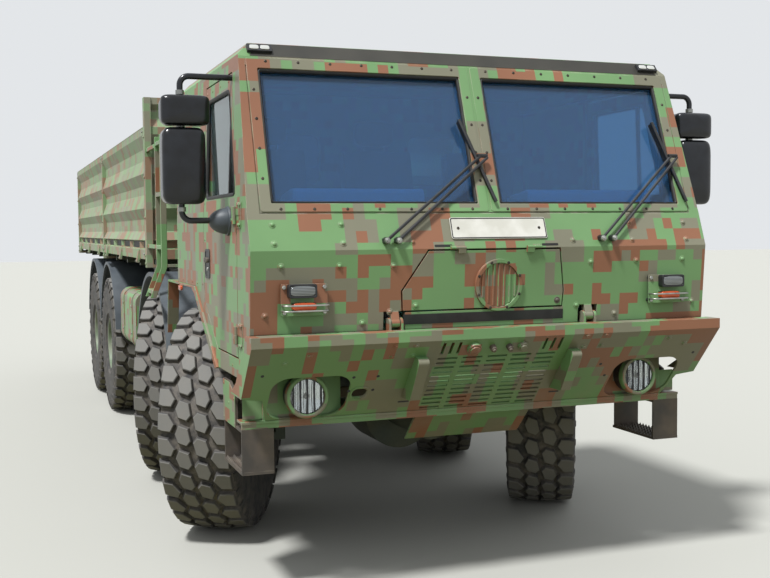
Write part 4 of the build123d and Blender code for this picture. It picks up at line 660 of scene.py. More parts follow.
# %% Set the wheels in their places
def set_wheel(names, spot, body, node):
    """Tyre, rim and nuts of one wheel; spot carries their points to the wheel's place."""
    tyre_name, rim_name, nuts_name = names
    tyre = piece(tyre_name, (spot(tyre_shape[0]), tyre_shape[1]), tyre_rubber, body, 35, merge=False)
    height = tyre.data.attributes.new("relief", "FLOAT", "POINT")
    height.data.foreach_set("value", tyre_relief.astype(np.float32))
    piece(rim_name, (spot(rim_shape[0]), rim_shape[1]), rim_paint, body)
    piece(nuts_name, (spot(bolt_shape[0]), bolt_shape[1]), zinc, body)
    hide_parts(node)


def turned_wheel(to_left, turn, place):
    """Turns a wheel made along +X to its side and steering angle, and carries it there."""
    angle = np.radians(turn + (0 if to_left else 180))
    c, s = np.cos(angle), np.sin(angle)
    return lambda points: np.asarray(points) @ np.array([[c, s, 0], [-s, c, 0], [0, 0, 1]]) + place


STEERED = (-28, -20, 0, 0)
AXLES = (0.0, 1.650, 4.750, 6.200)
PIVOT, REACH = 0.900, 0.160
for axle, (back, turn) in enumerate(zip(AXLES, STEERED), 1):
    for sign, hand in HANDS:
        t = np.radians(turn)
        x, y = sign * (PIVOT + REACH * np.cos(t)), AXLE_1 + back + sign * REACH * np.sin(t)
        names = [f"{what}_{axle}_{hand}" for what in ("tyre", "rim", "wheel_nuts", "wheel")]
        spot = turned_wheel(sign > 0, turn, np.array([x, y, TYRE_R]))
        set_wheel(names[:3], spot, names[3], names[3])
print("wheels set:", 2 * len(AXLES))

# %% [markdown]
# The spare lies across the truck behind the cab, on its carrier, with its outer side to
# the rear. It is the same mesh as the others, so it only needs another way of turning.

# %% The spare wheel
spare_low, spare_high = (np.array(v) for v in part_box("spare_wheel"))
spare_middle = (spare_low + spare_high) / 2


def across_truck(points):
    """A wheel made along +X, turned to face the rear: (x, y) becomes (-y, x)."""
    return np.asarray(points)[:, [1, 0, 2]] * (-1, 1, 1) + spare_middle


set_wheel(("spare_tyre", "spare_rim", "spare_nuts"), across_truck, "chassis", "spare_wheel")
print("spare wheel at:", spare_middle.round(3))

# %% [markdown]
# ## The front of the cab and the bumper
# Both are flat panels at five slopes, from the bumper's face to the strip over the
# windscreens. Small fittings are given by x and height, and `sloped` finds the point on
# the panel, so that nothing floats off it, as fittings that are placed by eye easily do.

# %% Places on the leaning panels
def sloped(low, high):
    """A panel between two edges given as (back, height): its outward normal, and a function
    that gives the point at x and height z, stood off by out: p = edge + out * normal."""
    run, rise = high[0] - low[0], high[1] - low[1]
    normal = np.array([0, -rise, run]) / np.hypot(run, rise)

    def place(x, z, out=0.0):
        return np.array([x, AXLE_1 + low[0] + (z - low[1]) * run / rise, z]) + out * normal

    return normal, place


BUMPER, on_bumper = sloped((-1.300, 0.870), (-1.638, 1.262))
LOWER, on_lower = sloped((-1.511, 1.312), (-1.543, 1.703))
BELT, on_belt = sloped((-1.543, 1.703), (-1.480, 1.879))
SCREEN, on_screen = sloped((-1.480, 1.879), (-1.207, 2.645))
FASCIA, on_fascia = sloped((-1.207, 2.645), (-1.150, 2.718))


# %% [markdown]
# Plates with round corners, flat rings, lenses and fasteners come back on every side of the
# truck. A lens could be a flattened sphere, but a superellipse keeps the square look of
# moulded lamps. Bolts are repeated hundreds of times, so each has a few dozen faces.

# %% Shapes for small fittings
def rounded(width, height, radius, steps=6):
    """Outline of a rectangle about (0, 0) whose corners are arcs of that radius."""
    t = np.linspace(0, np.pi / 2, steps)
    corner = radius * np.stack([np.cos(t), np.sin(t)], axis=1)
    parts = []
    for k, (sx, sy) in enumerate([(1, 1), (-1, 1), (-1, -1), (1, -1)]):
        c, s = np.cos(k * np.pi / 2), np.sin(k * np.pi / 2)
        turned_corner = corner @ np.array([[c, s], [-s, c]])
        parts.append(turned_corner + (sx * (width / 2 - radius), sy * (height / 2 - radius)))
    return np.concatenate(parts)


def sheet(size, normal, thick, origin):
    """A plate with rounded corners; its size is (width, height, radius)."""
    return plate(rounded(*size), normal, thick, origin)


def framed(outer, inner, normal, thick, origin):
    """A flat ring between two outlines of equal count, given a thickness along its normal."""
    n = len(outer)
    a, _ = plate(outer, normal, thick, origin)
    b, _ = plate(inner, normal, thick, origin)
    k = np.arange(n)
    m = (k + 1) % n
    front = np.stack([n + k, n + m, 3 * n + m, 3 * n + k], axis=1)
    back = np.stack([k, 2 * n + k, 2 * n + m, m], axis=1)
    outside = np.stack([k, m, n + m, n + k], axis=1)
    inside = np.stack([2 * n + k, 3 * n + k, 3 * n + m, 2 * n + m], axis=1)
    return np.concatenate([a, b]), np.concatenate([front, back, outside, inside]).tolist()


def bezel(outer, inner, normal, thick, origin):
    """A flat ring between two rounded rectangles of (width, height, radius)."""
    return framed(rounded(*outer), rounded(*inner), normal, thick, origin)


def pillow(width, height, depth, normal, origin, power=6.0, turns=40, rows=7, corner=0.5):
    """A lens or cap with a flat back: at share s of the way up, the outline is a superellipse
    u = |cos t|^corner, v = |sin t|^corner scaled by (1 - s^power)^(1/power), its height s * depth."""
    t = np.linspace(0, 2 * np.pi, turns, endpoint=False)
    u = np.sign(np.cos(t)) * np.abs(np.cos(t)) ** corner
    v = np.sign(np.sin(t)) * np.abs(np.sin(t)) ** corner
    s = np.concatenate([[0.0], np.linspace(0, 1, rows) ** 0.6])
    scale = np.maximum(1 - s**power, 0) ** (1 / power)
    scale[0], scale[-1] = 0, 0
    flat = [scale[:, None] * u * width / 2, scale[:, None] * v * height / 2]
    flat = np.stack(flat, axis=-1).reshape(-1, 2)
    high = np.repeat(s * depth, turns)
    points = laid(flat, normal, origin) + high[:, None] * directions(normal)[0]
    return points, grid_faces(len(s), turns, close_columns=True)


dome_bolt = lathe([
    (0.0, 0.009), (0.004, 0.0086), (0.008, 0.0066), (0.0105, 0.003), (0.0110, 0.0018), (0.0165, 0.0018),
    (0.0175, 0.0),
], 14)
hex_bolt = lathe([(0.0, 0.008), (0.0085, 0.008), (0.0105, 0.0065), (0.0105, 0.0015)], 6)
hex_washer = lathe([(0.0, 0.0020), (0.0150, 0.0020), (0.0160, 0.0)], 16)
flat_screw = lathe([(0.0, 0.0030), (0.0045, 0.0030), (0.0075, 0.0012), (0.0080, 0.0)], 12)
rivet = lathe([(0.0, 0.0034), (0.0040, 0.0028), (0.0062, 0.0012), (0.0068, 0.0)], 10)
# steel screws blackened in oil: dark, with a faint metal gleam
dark_screw = mottled(
    "blackened_screw", "lamp_metal", ("#2c2924", "#4d463d"), 0.02, (0.4, 0.6), 0.0002, 0.001, metallic=0.6,
)

# %% [markdown]
# The two windscreen frames are pressed sheet, screwed on over the glass. Each is a flat
# ring between two rounded outlines, with a rubber bead round the pane. Heights on the
# panel are stretched by its slope. A curve with a round bevel could make the bead too; a
# swept section is a mesh from the start, and its profile can be taller than wide.

# %% Windscreen frames, seals and screws
STRETCH = 0.8132 / 0.766
SCREEN_X, SCREEN_Z, SILL_Z, HEAD_Z = 0.595, (1.925 + 2.585) / 2, 1.897, 2.622
for sign, hand in HANDS:
    outer = rounded(1.176, 0.755 * STRETCH, 0.012) + (0, 0.007 * STRETCH)
    inner = rounded(1.070, 0.660 * STRETCH + 0.004, 0.010)
    ring = framed(outer, inner, SCREEN, 0.003, on_screen(sign * SCREEN_X, SCREEN_Z))
    piece(f"windscreen_frame_{hand}", ring, camouflage_paint, "cab", bevel=0.0012)
    bead = rounded(1.056, 0.650 * STRETCH, 0.012, 8)
    path = laid(bead, SCREEN, on_screen(sign * SCREEN_X, SCREEN_Z, -0.012))
    seal = swept(path, round_section(0.0085, 8) * (1, 1.5), closed=True, up=SCREEN)
    piece(f"windscreen_seal_{hand}", seal, rubber_and_shade_black, "cab", 60)
screws = []
for k in range(7):
    x = 0.098 + 0.1645 * k
    screws += [on_screen(s * x, z, 0.003) for s in (-1, 1) for z in (HEAD_Z, SILL_Z)]
for k in range(4):
    z = SILL_Z + 0.1450 * (k + 1)
    screws += [on_screen(s * x, z, 0.003) for s in (-1, 1) for x in (0.031, 1.158)]
many("frame_screws", flat_screw, screws, SCREEN, dark_screw, "cab")

# %% [markdown]
# Over the frames runs a dark strip with a marker lamp at each end. The lamp's white lens
# is in two parts, over a black case. The strip is a real plate of 2 mm, because a painted
# band would have no edge to catch the light.

# %% Fascia strip and marker lamps
# dark anti-glare paint over the windscreens: brown black and satin
fascia_dark = mottled(
    "dark_brown_strip_paint", "camouflage_steel", ("#272621", "#35332c"), 0.3, (0.42, 0.6), 0.0004, 0.003,
    0.16, "#7a7064",
)
STRIP_Z = 2.6815
strip = [(-1.160, -0.043), (1.160, -0.043), (1.120, 0.043), (-1.120, 0.043)]
strip = plate(strip, FASCIA, 0.0022, on_fascia(0, STRIP_Z))
piece("fascia_strip", strip, fascia_dark, "cab", bevel=0.001)
# milky polycarbonate, moulded with flutes: white and glossy
white_lens, tree, shader = surface("white_diffusing_lens", "#b4b6b2", 0.16, Coat_Weight=0.6, **LAMP)
fluted(tree, shader, 60.0, 0.3, 0.001)
for sign, hand in HANDS:
    for step in (-0.0270, 0.0270):
        spot = on_fascia(sign * 1.108 + step, STRIP_Z, 0.0180)
        piece(f"marker_lens_{hand}", pillow(0.046, 0.028, 0.004, FASCIA, spot), white_lens, "cab", 50)

# %% [markdown]
# Below the windscreens sit the bare number plate, the dome-headed bolts of the panels
# and, on the service flap, a round cover with upright ribs. The plate is an enamelled sheet
# with a raised rim, held by two screws on its middle line.

# %% Number plate
plate_x, plate_z = 0.030, 1.800
plate_on = on_belt(plate_x, plate_z, 0.004)
blank = sheet((0.531, 0.113, 0.012), BELT, 0.003, plate_on)
piece("blank_number_plate", blank, enamel, "cab", bevel=0.001)
plate_rim = bezel((0.525, 0.107, 0.010), (0.515, 0.097, 0.007), BELT, 0.0038, plate_on)
piece("number_plate_rim", plate_rim, black_plastic, "cab")
plate_screws = [on_belt(plate_x + s * 0.225, plate_z, 0.007) for s in (-1, 1)]
many("number_plate_screws", flat_screw, plate_screws, BELT, dark_screw, "cab")

# %% [markdown]
# The cover's ribs are pressed bars. They follow the slope of the flap, and each bar is as
# long as the circle is wide where it stands.

# %% The ribbed cover
cover_x, cover_z, cover_r = 0.018, 1.517, 0.121
rib_section = [(-0.006, -0.003), (-0.0035, 0.005), (0.0035, 0.005), (0.006, -0.003)]
ribs = []
for k in range(7):
    u = (k - 3) * 0.030
    half = np.sqrt(0.108**2 - u**2)
    path = [on_lower(cover_x + u, cover_z + half * s, 0.0055) for s in np.linspace(-1, 1, 9)]
    ribs.append(swept(path, rib_section, up=LOWER))
piece("cover_ribs", joined(ribs), camouflage_paint, "flap")
cover_ring = [
    on_lower(cover_x + cover_r * np.cos(a), cover_z + cover_r * np.sin(a), 0.014)
    for a in np.arange(8) * np.pi / 4 + 0.39
]
many("cover_screws", flat_screw, cover_ring, LOWER, dark_screw, "flap")

# %% [markdown]
# The panels are held by dome-headed bolts with a collar, in the paint of the cab. A black strip is
# painted shade in the gap under the flap, and two black strips paint the shade in its hinge slots.

# %% Panel bolts, and the seal and slots round the flap
belt_bolts = [on_belt(s * x, z) for s in (-1, 1) for x in (1.134, 0.797) for z in (1.824, 1.735)]
belt_bolts += [on_belt(-0.444, 1.737), on_belt(0.444, 1.737)]
many("belt_bolts", dome_bolt, belt_bolts, BELT, camouflage_paint, "cab")
lower_bolts = [on_lower(x, z) for x, z in (
    (0.819, 1.627), (1.105, 1.629), (-0.819, 1.627), (-1.105, 1.629), (-0.545, 1.623), (0.545, 1.623),
    (-0.560, 1.400), (0.470, 1.400), (1.180, 1.400), (-1.180, 1.400), (0.700, 1.350), (-0.700, 1.350),
)]
many("lower_bolts", dome_bolt, lower_bolts, LOWER, camouflage_paint, "cab")
many("flap_catch", dome_bolt, [on_lower(0.356, 1.430)], LOWER, dark_steel, "flap")
# a black strip painted as the shade in the gap under the flap
under_flap = sheet((0.882, 0.049, 0.002), LOWER, 0.002, on_lower(-0.049, 1.3595, 0.0005))
piece("flap_gap_painted_shade", under_flap, rubber_and_shade_black, "cab")
many("flap_bolts", dome_bolt, [on_lower(-0.426, 1.425)], LOWER, camouflage_paint, "flap")
# two black strips painted as the shade in the flap's hinge slots
hinge_slots = [
    sheet((0.093, 0.012, 0.004), BELT, 0.001, on_belt(x, 1.7165, 0.0002)) for x in (-0.2845, 0.306)
]
piece("flap_hinge_slot_shade", joined(hinge_slots), rubber_and_shade_black, "cab")

# %% [markdown]
# A lamp unit has a plate, a position lamp whose clear lens stands over a dark bowl, an
# amber indicator and two guard wires, which are round bars bent out of the plate and back.
# Both sides come out of one loop, mirrored by the sign of x.

# %% Lamp units beside the flap
# a clear lens over a dark bowl, drawn as fine lines under gloss: the dark lines are the bowl, the pale lines
# painted highlights where its flutes catch the light
smoked_lens, tree, shader = surface(
    "clear_lens_over_dark_bowl", "#4b4f52", 0.12, 0.2, Coat_Weight=1.0, **LAMP
)
lines = {"Vector": add(tree, "TexCoord", take="Object"), "Scale": 45.0}
lines = add(tree, "TexWave", lines, take="Fac", bands_direction="Z")
shade = add(tree, "MixRGB", {0: lines, 1: linear("#33373a"), 2: linear("#868b8c")})
plug(tree, shader, {"Base Color": shade})

# the wire's bends as (along, out), from one foot to its straight middle
BENDS = ((0.0, 0.004), (0.0, 0.044), (0.006, 0.052), (0.020, 0.056))
for sign, hand in HANDS:
    x0, z0, y0 = sign * 0.998, 1.474, AXLE_1 - 1.545
    unit_plate = sheet((0.227, 0.150, 0.008), FRONT, 0.0012, (x0, y0 - 0.005, z0))
    piece(f"lamp_plate_{hand}", unit_plate, camouflage_paint, "cab", bevel=0.0005)
    case = np.array([x0 + sign * 0.016, y0 - 0.006, z0 + 0.042])
    tube = bezel((0.136, 0.064, 0.010), (0.118, 0.046, 0.006), FRONT, 0.0400, case)
    piece(f"position_lamp_case_{hand}", tube, black_plastic, "cab", bevel=0.0015)
    lens = pillow(0.120, 0.048, 0.008, FRONT, case + (0, -0.0340, 0))
    piece(f"position_lens_{hand}", lens, smoked_lens, "cab", 50)
    spot = np.array([x0 + sign * 0.006, y0 - 0.030, z0 - 0.032])
    piece(f"indicator_lens_{hand}", pillow(0.114, 0.038, 0.012, FRONT, spot), lamp_amber, "cab", 50)
    body = pillow(0.116, 0.040, 0.030, FRONT, spot + (0, 0.025, 0), power=14)
    piece(f"indicator_body_{hand}", body, lamp_amber, "cab", 50)
    wires = []
    for z in (1.449, 1.423):
        first, last = x0 - 0.1080, x0 + 0.1080
        path = [(first + along, y0 - out, z) for along, out in BENDS]
        path += [(last - along, y0 - out, z) for along, out in BENDS[::-1]]
        wires.append(wire(path, 0.0042, 10))
    piece(f"guard_wires_{hand}", joined(wires), zinc, "cab", 60)
    corners = [(x0 + u, y0 - 0.0062, z0 + v) for u in (-0.098, 0.098) for v in (-0.059, 0.059)]
    many(f"lamp_plate_bolts_{hand}", hex_bolt, corners, FRONT, zinc, "cab")

# %% [markdown]
# The headlamps sit deep in the bumper's wells: a green ring, a reflector bowl whose depth
# grows with the square of the radius, a domed glass over it and a bulb cap. All four are
# round, so each is one profile turned about the lamp's axis.

# %% Headlamps
LAMP_Y, BOWL_R = AXLE_1 - 1.3835, 0.086
r = np.linspace(0.0, BOWL_R, 12)
lamp_ring = [
    (0.086, -0.002), (0.089, 0.006), (0.096, 0.008), (0.104, 0.005), (0.108, -0.004), (0.108, -0.030),
    (0.100, -0.034),
]
lamp_bowl = [(a, -0.0245 + 0.016 * (a / BOWL_R) ** 2) for a in r]
lamp_glass = [(a, -0.001 - 0.006 * (a / BOWL_R) ** 2) for a in r] + [(BOWL_R, -0.010)]
lamp_glass += [(a, -0.0045 - 0.006 * (a / BOWL_R) ** 2) for a in r[::-1]]
bulb_cap = [(0.0, -0.010), (0.010, -0.010), (0.014, -0.014), (0.015, -0.024)]
lamp_parts = (
    ("headlamp_ring", lamp_ring, camouflage_paint, 48), ("headlamp_bowl", lamp_bowl, reflector, 48),
    ("headlamp_bulb_cap", bulb_cap, zinc, 20), ("headlamp_glass", lamp_glass, lamp_clear, 48),
)
for sign, hand in HANDS:
    for name, profile, material, turns in lamp_parts:
        # a profile of (r, forward) points turned round the lamp's axis
        points, faces = lathe(profile, turns)
        points = np.stack([points[:, 0], -points[:, 2], points[:, 1]], axis=1)
        piece(f"{name}_{hand}", (points + (sign * 0.940, LAMP_Y, 0.990), faces), material, smooth=40)

# %% [markdown]
# On the bumper's face are two rings of bolts, the sockets for jump-start leads under
# screwed caps, the crank hole with its rim, and small holes and slits. The holes and slits
# are thin black discs and strips of painted shade, which look the same as a hole of that
# size at this distance.

# %% Fittings on the bumper's face
bolts = [
    (-0.569, 1.242), (-0.463, 1.241), (-0.571, 1.189), (-0.465, 1.189), (0.474, 1.252), (0.582, 1.252),
    (0.478, 1.190), (0.582, 1.194), (-0.985, 1.215), (0.985, 1.215), (-1.100, 1.180), (1.100, 1.180),
]
bolts = [on_bumper(x, z) for x, z in bolts]
many("bumper_washers", hex_washer, bolts, BUMPER, camouflage_paint)
many("bumper_bolts", hex_bolt, bolts, BUMPER, camouflage_paint)
print("bolts on the bumper:", len(bolts), "facing:", BUMPER.round(3))
# the holes and slits are black discs and strips on the face: painted shade
hole = lathe([(0.0, 0.0012), (0.0080, 0.0012), (0.0086, 0.0)], 14)
holes = [on_bumper(x, z) for x, z in (
    (-0.736, 1.086), (-0.611, 1.085), (-0.742, 1.011), (-0.617, 1.010), (-1.195, 1.120), (1.195, 1.120),
    (0.640, 1.080), (0.700, 1.010),
)]
slits = [sheet((0.060, 0.010, 0.0045), BUMPER, 0.0012, on_bumper(x, 0.930, 0.0002)) for x in (-0.430, 0.430)]
piece("bumper_hole_shade", joined([scattered(hole, holes, BUMPER)] + slits), rubber_and_shade_black)
crank = bezel((0.098, 0.098, 0.034), (0.080, 0.080, 0.030), BUMPER, 0.004, on_bumper(-0.683, 0.994))
piece("crank_hole_rim", crank, camouflage_paint, bevel=0.001)

large_cap = np.array([
    (0.0, 0.030), (0.020, 0.030), (0.026, 0.027), (0.027, 0.020), (0.035, 0.019), (0.037, 0.014),
    (0.037, 0.0),
])
small_cap = np.array([
    (0.0, 0.034), (0.008, 0.034), (0.010, 0.031), (0.010, 0.026), (0.015, 0.025), (0.0165, 0.020),
    (0.0165, 0.0),
])
caps = (
    (-0.151, large_cap, camouflage_paint), (-0.049, small_cap, dark_steel), (0.042, small_cap, dark_steel),
    (0.116, large_cap * (0.72, 0.85), camouflage_paint),
)
for number, (x, profile, material) in enumerate(caps):
    at = [on_bumper(x, 1.2165)]
    many(f"socket_cap_{number}", lathe(profile, 28), at, BUMPER, material, slot="bare_grey")

# %% [markdown]
# Wipers: a rubber blade hangs under each bar and reaches to the glass, and each arm turns
# on a pale capped pivot. The blade follows the line between two points of the pane, so it
# lies on the glass at the glass's own slope.

# %% Wiper blades and pivots
blade_section = [(-0.0018, -0.040), (0.0018, -0.040), (0.0035, -0.006), (-0.0035, -0.006)]
wipers = (((-0.107, 2.356), (0.030, 1.935)), ((1.052, 2.372), (1.171, 1.937)))
share = np.linspace(0.02, 0.98, 24)[:, None]
for number, (top, foot) in enumerate(wipers):
    line = on_screen(*top, 0.022) * (1 - share) + on_screen(*foot, 0.022) * share
    length = line[-1] - line[0]
    away = SCREEN * (1 if np.cross(np.cross(length, SCREEN), length) @ SCREEN > 0 else -1)
    piece(f"wiper_blade_{number}", swept(line, blade_section, up=away), rubber_and_shade_black, "cab", 60)
pivot = [(0.0, 0.016), (0.006, 0.016), (0.008, 0.012), (0.012, 0.010), (0.015, 0.004), (0.016, 0.0)]
pivots = [(x, AXLE_1 - 1.5640, 1.745) for x in (-0.586, -0.525, 0.604, 0.670)]
many("wiper_pivots", lathe(pivot, 18), pivots, FRONT, zinc, "cab")

# %% [markdown]
# ## The sides of the cab
# Doors hang on bolted hinge plates, and carry a sunk handle, a rubber bead round the
# window and a bar that parts off its front quarter. The wall leans in above the belt:
# x = 1.250 - 0.0413 (z - 1.870). What is fixed to the doors takes its x from that formula.

# %% Places on the side walls, and a rounded loop
def wall(sign):
    """The point on that side's wall at (back, height), stood off by out."""
    def place(back, z, out=0.0):
        return np.array([sign * (1.250 - 0.0413 * max(z - 1.870, 0.0) + out), AXLE_1 + back, z])
    return place


def loop(corners, radius, steps=6):
    """A closed path through corners, each rounded by an arc: between the points at that
    distance along both legs, p = (1-t)^2 a + 2t(1-t) corner + t^2 b."""
    corners = np.asarray(corners, float)
    t = np.linspace(0, 1, steps)[:, None]
    path = []
    for k, corner in enumerate(corners):
        legs = [corners[k - 1] - corner, corners[(k + 1) % len(corners)] - corner]
        a, b = (corner + leg / np.linalg.norm(leg) * radius for leg in legs)
        path.append((1 - t) ** 2 * a + 2 * t * (1 - t) * corner + t**2 * b)
    return np.concatenate(path)


# %% Doors, handles, seals and side markers
window = [(-1.215, 1.975), (-1.028, 2.500), (-0.480, 2.500), (-0.480, 1.975)]
bar_section = [(-0.012, -0.008), (0.012, -0.008), (0.009, 0.010), (-0.009, 0.010)]
lock = lathe([(0.0, 0.006), (0.009, 0.006), (0.011, 0.004), (0.012, 0.0)], 18)
HINGES, HANDLE, MARKER_Y = (1.250, 1.830), -0.520, AXLE_1 + 0.300
for sign, hand in HANDS:
    door, way, on_side = f"{hand}_door", (sign, 0, 0), wall(sign)
    path = loop([on_side(y, z, -0.006) for y, z in window], 0.045)
    piece(f"window_seal_{hand}", wire(path, 0.011, closed=True, up=way), rubber_and_shade_black, door, 60)
    bar = swept([on_side(-0.970, z, -0.030) for z in (1.976, 2.499)], bar_section, up=way)
    piece(f"window_bar_{hand}", bar, black_plastic, door)
    plates = [
        sheet((0.090, 0.125, 0.010), way, 0.0035, on_side(-1.318, low + 0.042, 0.0002)) for low in HINGES
    ]
    piece(f"hinge_plates_{hand}", joined(plates), camouflage_paint, "cab", bevel=0.001)
    bolts = [
        on_side(y, z, 0.0035) for low in HINGES for y in (-1.350, -1.318) for z in (low - 0.004, low + 0.092)
    ]
    many(f"hinge_bolts_{hand}", hex_bolt, bolts, way, camouflage_paint, "cab")
    leaf = [on_side(y, low + 0.021, 0.006) for low in HINGES for y in (-1.232, -1.200)]
    many(f"hinge_leaf_bolts_{hand}", hex_bolt, leaf, way, camouflage_paint, door)
    handle = on_side(HANDLE, 1.620)
    dish = bezel((0.130, 0.160, 0.022), (0.106, 0.136, 0.016), way, 0.004, handle)
    well = sheet((0.108, 0.138, 0.016), way, 0.0012, handle)
    piece(f"handle_dish_{hand}", joined([dish, well]), black_plastic, door, bevel=0.0008)
    grip = pillow(0.088, 0.030, 0.016, way, on_side(HANDLE, 1.640, 0.001))
    piece(f"handle_grip_{hand}", grip, dark_steel, door, 50)
    many(f"handle_lock_{hand}", lock, [on_side(HANDLE, 1.590, 0.001)], way, zinc, door)
    marker = pillow(0.100, 0.032, 0.012, way, (sign * 1.2625, MARKER_Y, 1.4480))
    piece(f"side_marker_{hand}", marker, lamp_amber, "cab", 50)
    strap = sheet((0.110, 0.030, 0.004), way, 0.003, (sign * 1.2595, MARKER_Y, 1.4550))
    piece(f"side_marker_strap_{hand}", strap, camouflage_paint, "cab")
    row = [on_side(y, 1.500) for y in np.arange(-0.36, 0.46, 0.16)]
    row += [on_side(0.455, z) for z in np.arange(1.62, 2.6, 0.19)] + [on_side(-1.120, 1.130)]
    many(f"wall_rivets_{hand}", rivet, row, way, camouflage_paint, "cab")
    row = [on_side(y, 2.545) for y in (-1.00, -0.80, -0.60, -0.46)]
    row += [on_side(-0.445, z) for z in (2.35, 2.15, 1.95, 1.75, 1.55)]
    many(f"door_rivets_{hand}", rivet, row, way, camouflage_paint, door)

# %% [markdown]
# Mirrors: the heads look back with silvered glass, and their arm turns on a domed foot with
# a collar, r = 0.066 sqrt(1 - (h / 0.1)^2) at h from the door. The moulded shells have no
# sharp corner, so a superellipse suits them better than a box with rounded edges.

# %% Mirror glass, covers and arm bases
# polished moulds give the mirror heads a deep black gloss
gloss_black = mottled(
    "moulded_mirror_plastic", "black_plastic", ("#0c0e12", "#16191f"), 0.09, (0.16, 0.32), 0.0003, 0.002,
    Coat_Weight=0.2, Specular_IOR_Level=0.4,
)
h = np.linspace(0, 0.0999, 14)
dome = lathe([(0.0, 0.1)] + [(0.066 * np.sqrt(1 - (a / 0.1) ** 2), a) for a in h[::-1]], 36)
collar = lathe([(0.066, 0.012), (0.072, 0.010), (0.074, 0.004), (0.074, 0.0)], 36)
clamp = lathe([(0.0155, -0.012), (0.021, -0.010), (0.021, 0.010), (0.0155, 0.012)], 20)
ARM_Y, GLASS_Y, COVER_Y = AXLE_1 - 1.075, AXLE_1 - 1.0650, AXLE_1 - 1.126
# name, x, height; size and bulge of the glass; size of the cover
heads = (
    ("main", 1.475, 2.115, (0.178, 0.330, 0.003), (0.213, 0.373)),
    ("wide", 1.465, 2.383, (0.200, 0.108, 0.012), (0.238, 0.148)),
)
for sign, hand in HANDS:
    door, way = f"{hand}_door", (sign, 0, 0)
    nodes[f"mirror_{hand}"].data.materials[0] = gloss_black
    for name, x, z, (width, tall, bulge), _ in heads:
        pane = pillow(width, tall, bulge, REAR, (sign * x, GLASS_Y - 0.0002, z))
        piece(f"mirror_glass_{name}_{hand}", pane, mirror_silver, door, 60)
        outer, inner = (width + 0.012, tall + 0.012, 0.030), (width - 0.006, tall - 0.006, 0.024)
        edge = bezel(outer, inner, REAR, 0.003, (sign * x, GLASS_Y, z))
        piece(f"mirror_edge_{name}_{hand}", edge, rubber_and_shade_black, door)
    for name, x, z, _, size in heads:
        at = (sign * x, COVER_Y, z)
        cover = pillow(*size, 0.050, FRONT, at, power=3, rows=12, turns=64, corner=0.30)
        piece(f"mirror_cover_{name}_{hand}", cover, gloss_black, door, 60)
    foot = [(sign * 1.2503, ARM_Y, 1.847)]
    base = joined([scattered(dome, foot, way), scattered(collar, foot, way)])
    piece(f"mirror_base_{hand}", base, guard_plastic, door, 50, slot="black_plastic")
    clamps = [(sign * 1.480, ARM_Y, z) for z in (1.905, 2.308, 2.475)]
    many(f"mirror_clamps_{hand}", clamp, clamps, UP, zinc, door)

# %% [markdown]
# ## Behind the cab and along the bed
# The intake's housing is grey-tan sheet with rows of punched holes, drawn as black discs of
# painted shade. The ladder hangs on two stays from the headboard's post. The boards are
# dusty, so their paint is paler; a black sheet paints the shade in the channel behind their
# tie-down hooks, and pins hold them to the stakes.

# %% Intake housing and its holes
# one coat of the pattern's grey tan: satin, with pale edges
tan_paint = mottled(
    "grey_tan_paint", "camouflage_steel", ("#77735f", "#8d8a77"), 0.2, (0.42, 0.6), 0.0005, 0.003, 0.16,
    BARE_EDGE,
)
nodes["intake_housing"].data.materials[0] = tan_paint
INTAKE_X, INTAKE_Y = -0.900, AXLE_1 + 0.800
# each punched hole is a black disc on the sheet: painted shade
punch = lathe([(0.0, 0.0008), (0.0120, 0.0008), (0.0126, 0.0)], 12)
hole_rows = np.arange(2.02, 2.72, 0.055)
front_holes = [(INTAKE_X + u, AXLE_1 + 0.590, z) for u in (-0.155, -0.115, 0.115, 0.155) for z in hole_rows]
side_holes = [(-1.090, INTAKE_Y + u, z) for u in (-0.165, -0.125, 0.125, 0.165) for z in hole_rows]
holes = [scattered(punch, front_holes, FRONT), scattered(punch, side_holes, (-1, 0, 0))]
piece("intake_hole_shade", joined(holes), rubber_and_shade_black)
lid_rim = bezel((0.392, 0.432, 0.045), (0.340, 0.380, 0.030), UP, 0.006, (INTAKE_X, INTAKE_Y, 2.7402))
piece("intake_lid", lid_rim, tan_paint, bevel=0.0015)

# %% [markdown]
# The ladder has two bent flat bars and four rungs, and hangs on two stays from the
# headboard's post. It stands further out than the solid in the frame, and takes its place.

# %% The ladder, as far out as the boards
OUT, LADDER_SIDES = -0.125, (0.930, 1.150)
near, far = LADDER_SIDES
bend = [(-1.120, 2.450), (-1.160, 2.450), (-1.160, 1.560), (-1.240, 1.350), (-1.200, 1.350), (-1.120, 1.560)]
bend = np.array(bend) + (OUT, 0)
ladder = [plate(bend, FRONT, 0.014, (0, AXLE_1 + y + 0.014, 0)) for y in LADDER_SIDES]
for x, z in ((-1.140, 2.400), (-1.140, 2.050), (-1.140, 1.690), (-1.205, 1.390)):
    rung = np.array([x + OUT, AXLE_1, z])
    ladder.append(block(rung + (-0.018, near + 0.010, -0.014), rung + (0.018, far + 0.004, 0.014)))
for z in (2.400, 1.690):
    stay = np.array([-1.255, AXLE_1, z])
    ladder.append(block(stay + (-0.012, far + 0.010, -0.014), stay + (0.012, 1.722, 0.014)))
outer_ladder = piece("ladder_with_stays", joined(ladder), camouflage_paint, bevel=0.002)
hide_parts("ladder")
print("ladder stands out to x =", round(float(bend[:, 0].min()), 3))

# %% [markdown]
# The boards carry the same paint as the cab under more dust: a pale veil is mixed over the
# finished colour, a fifth to a half of it, so the pattern's rule is used again unchanged.

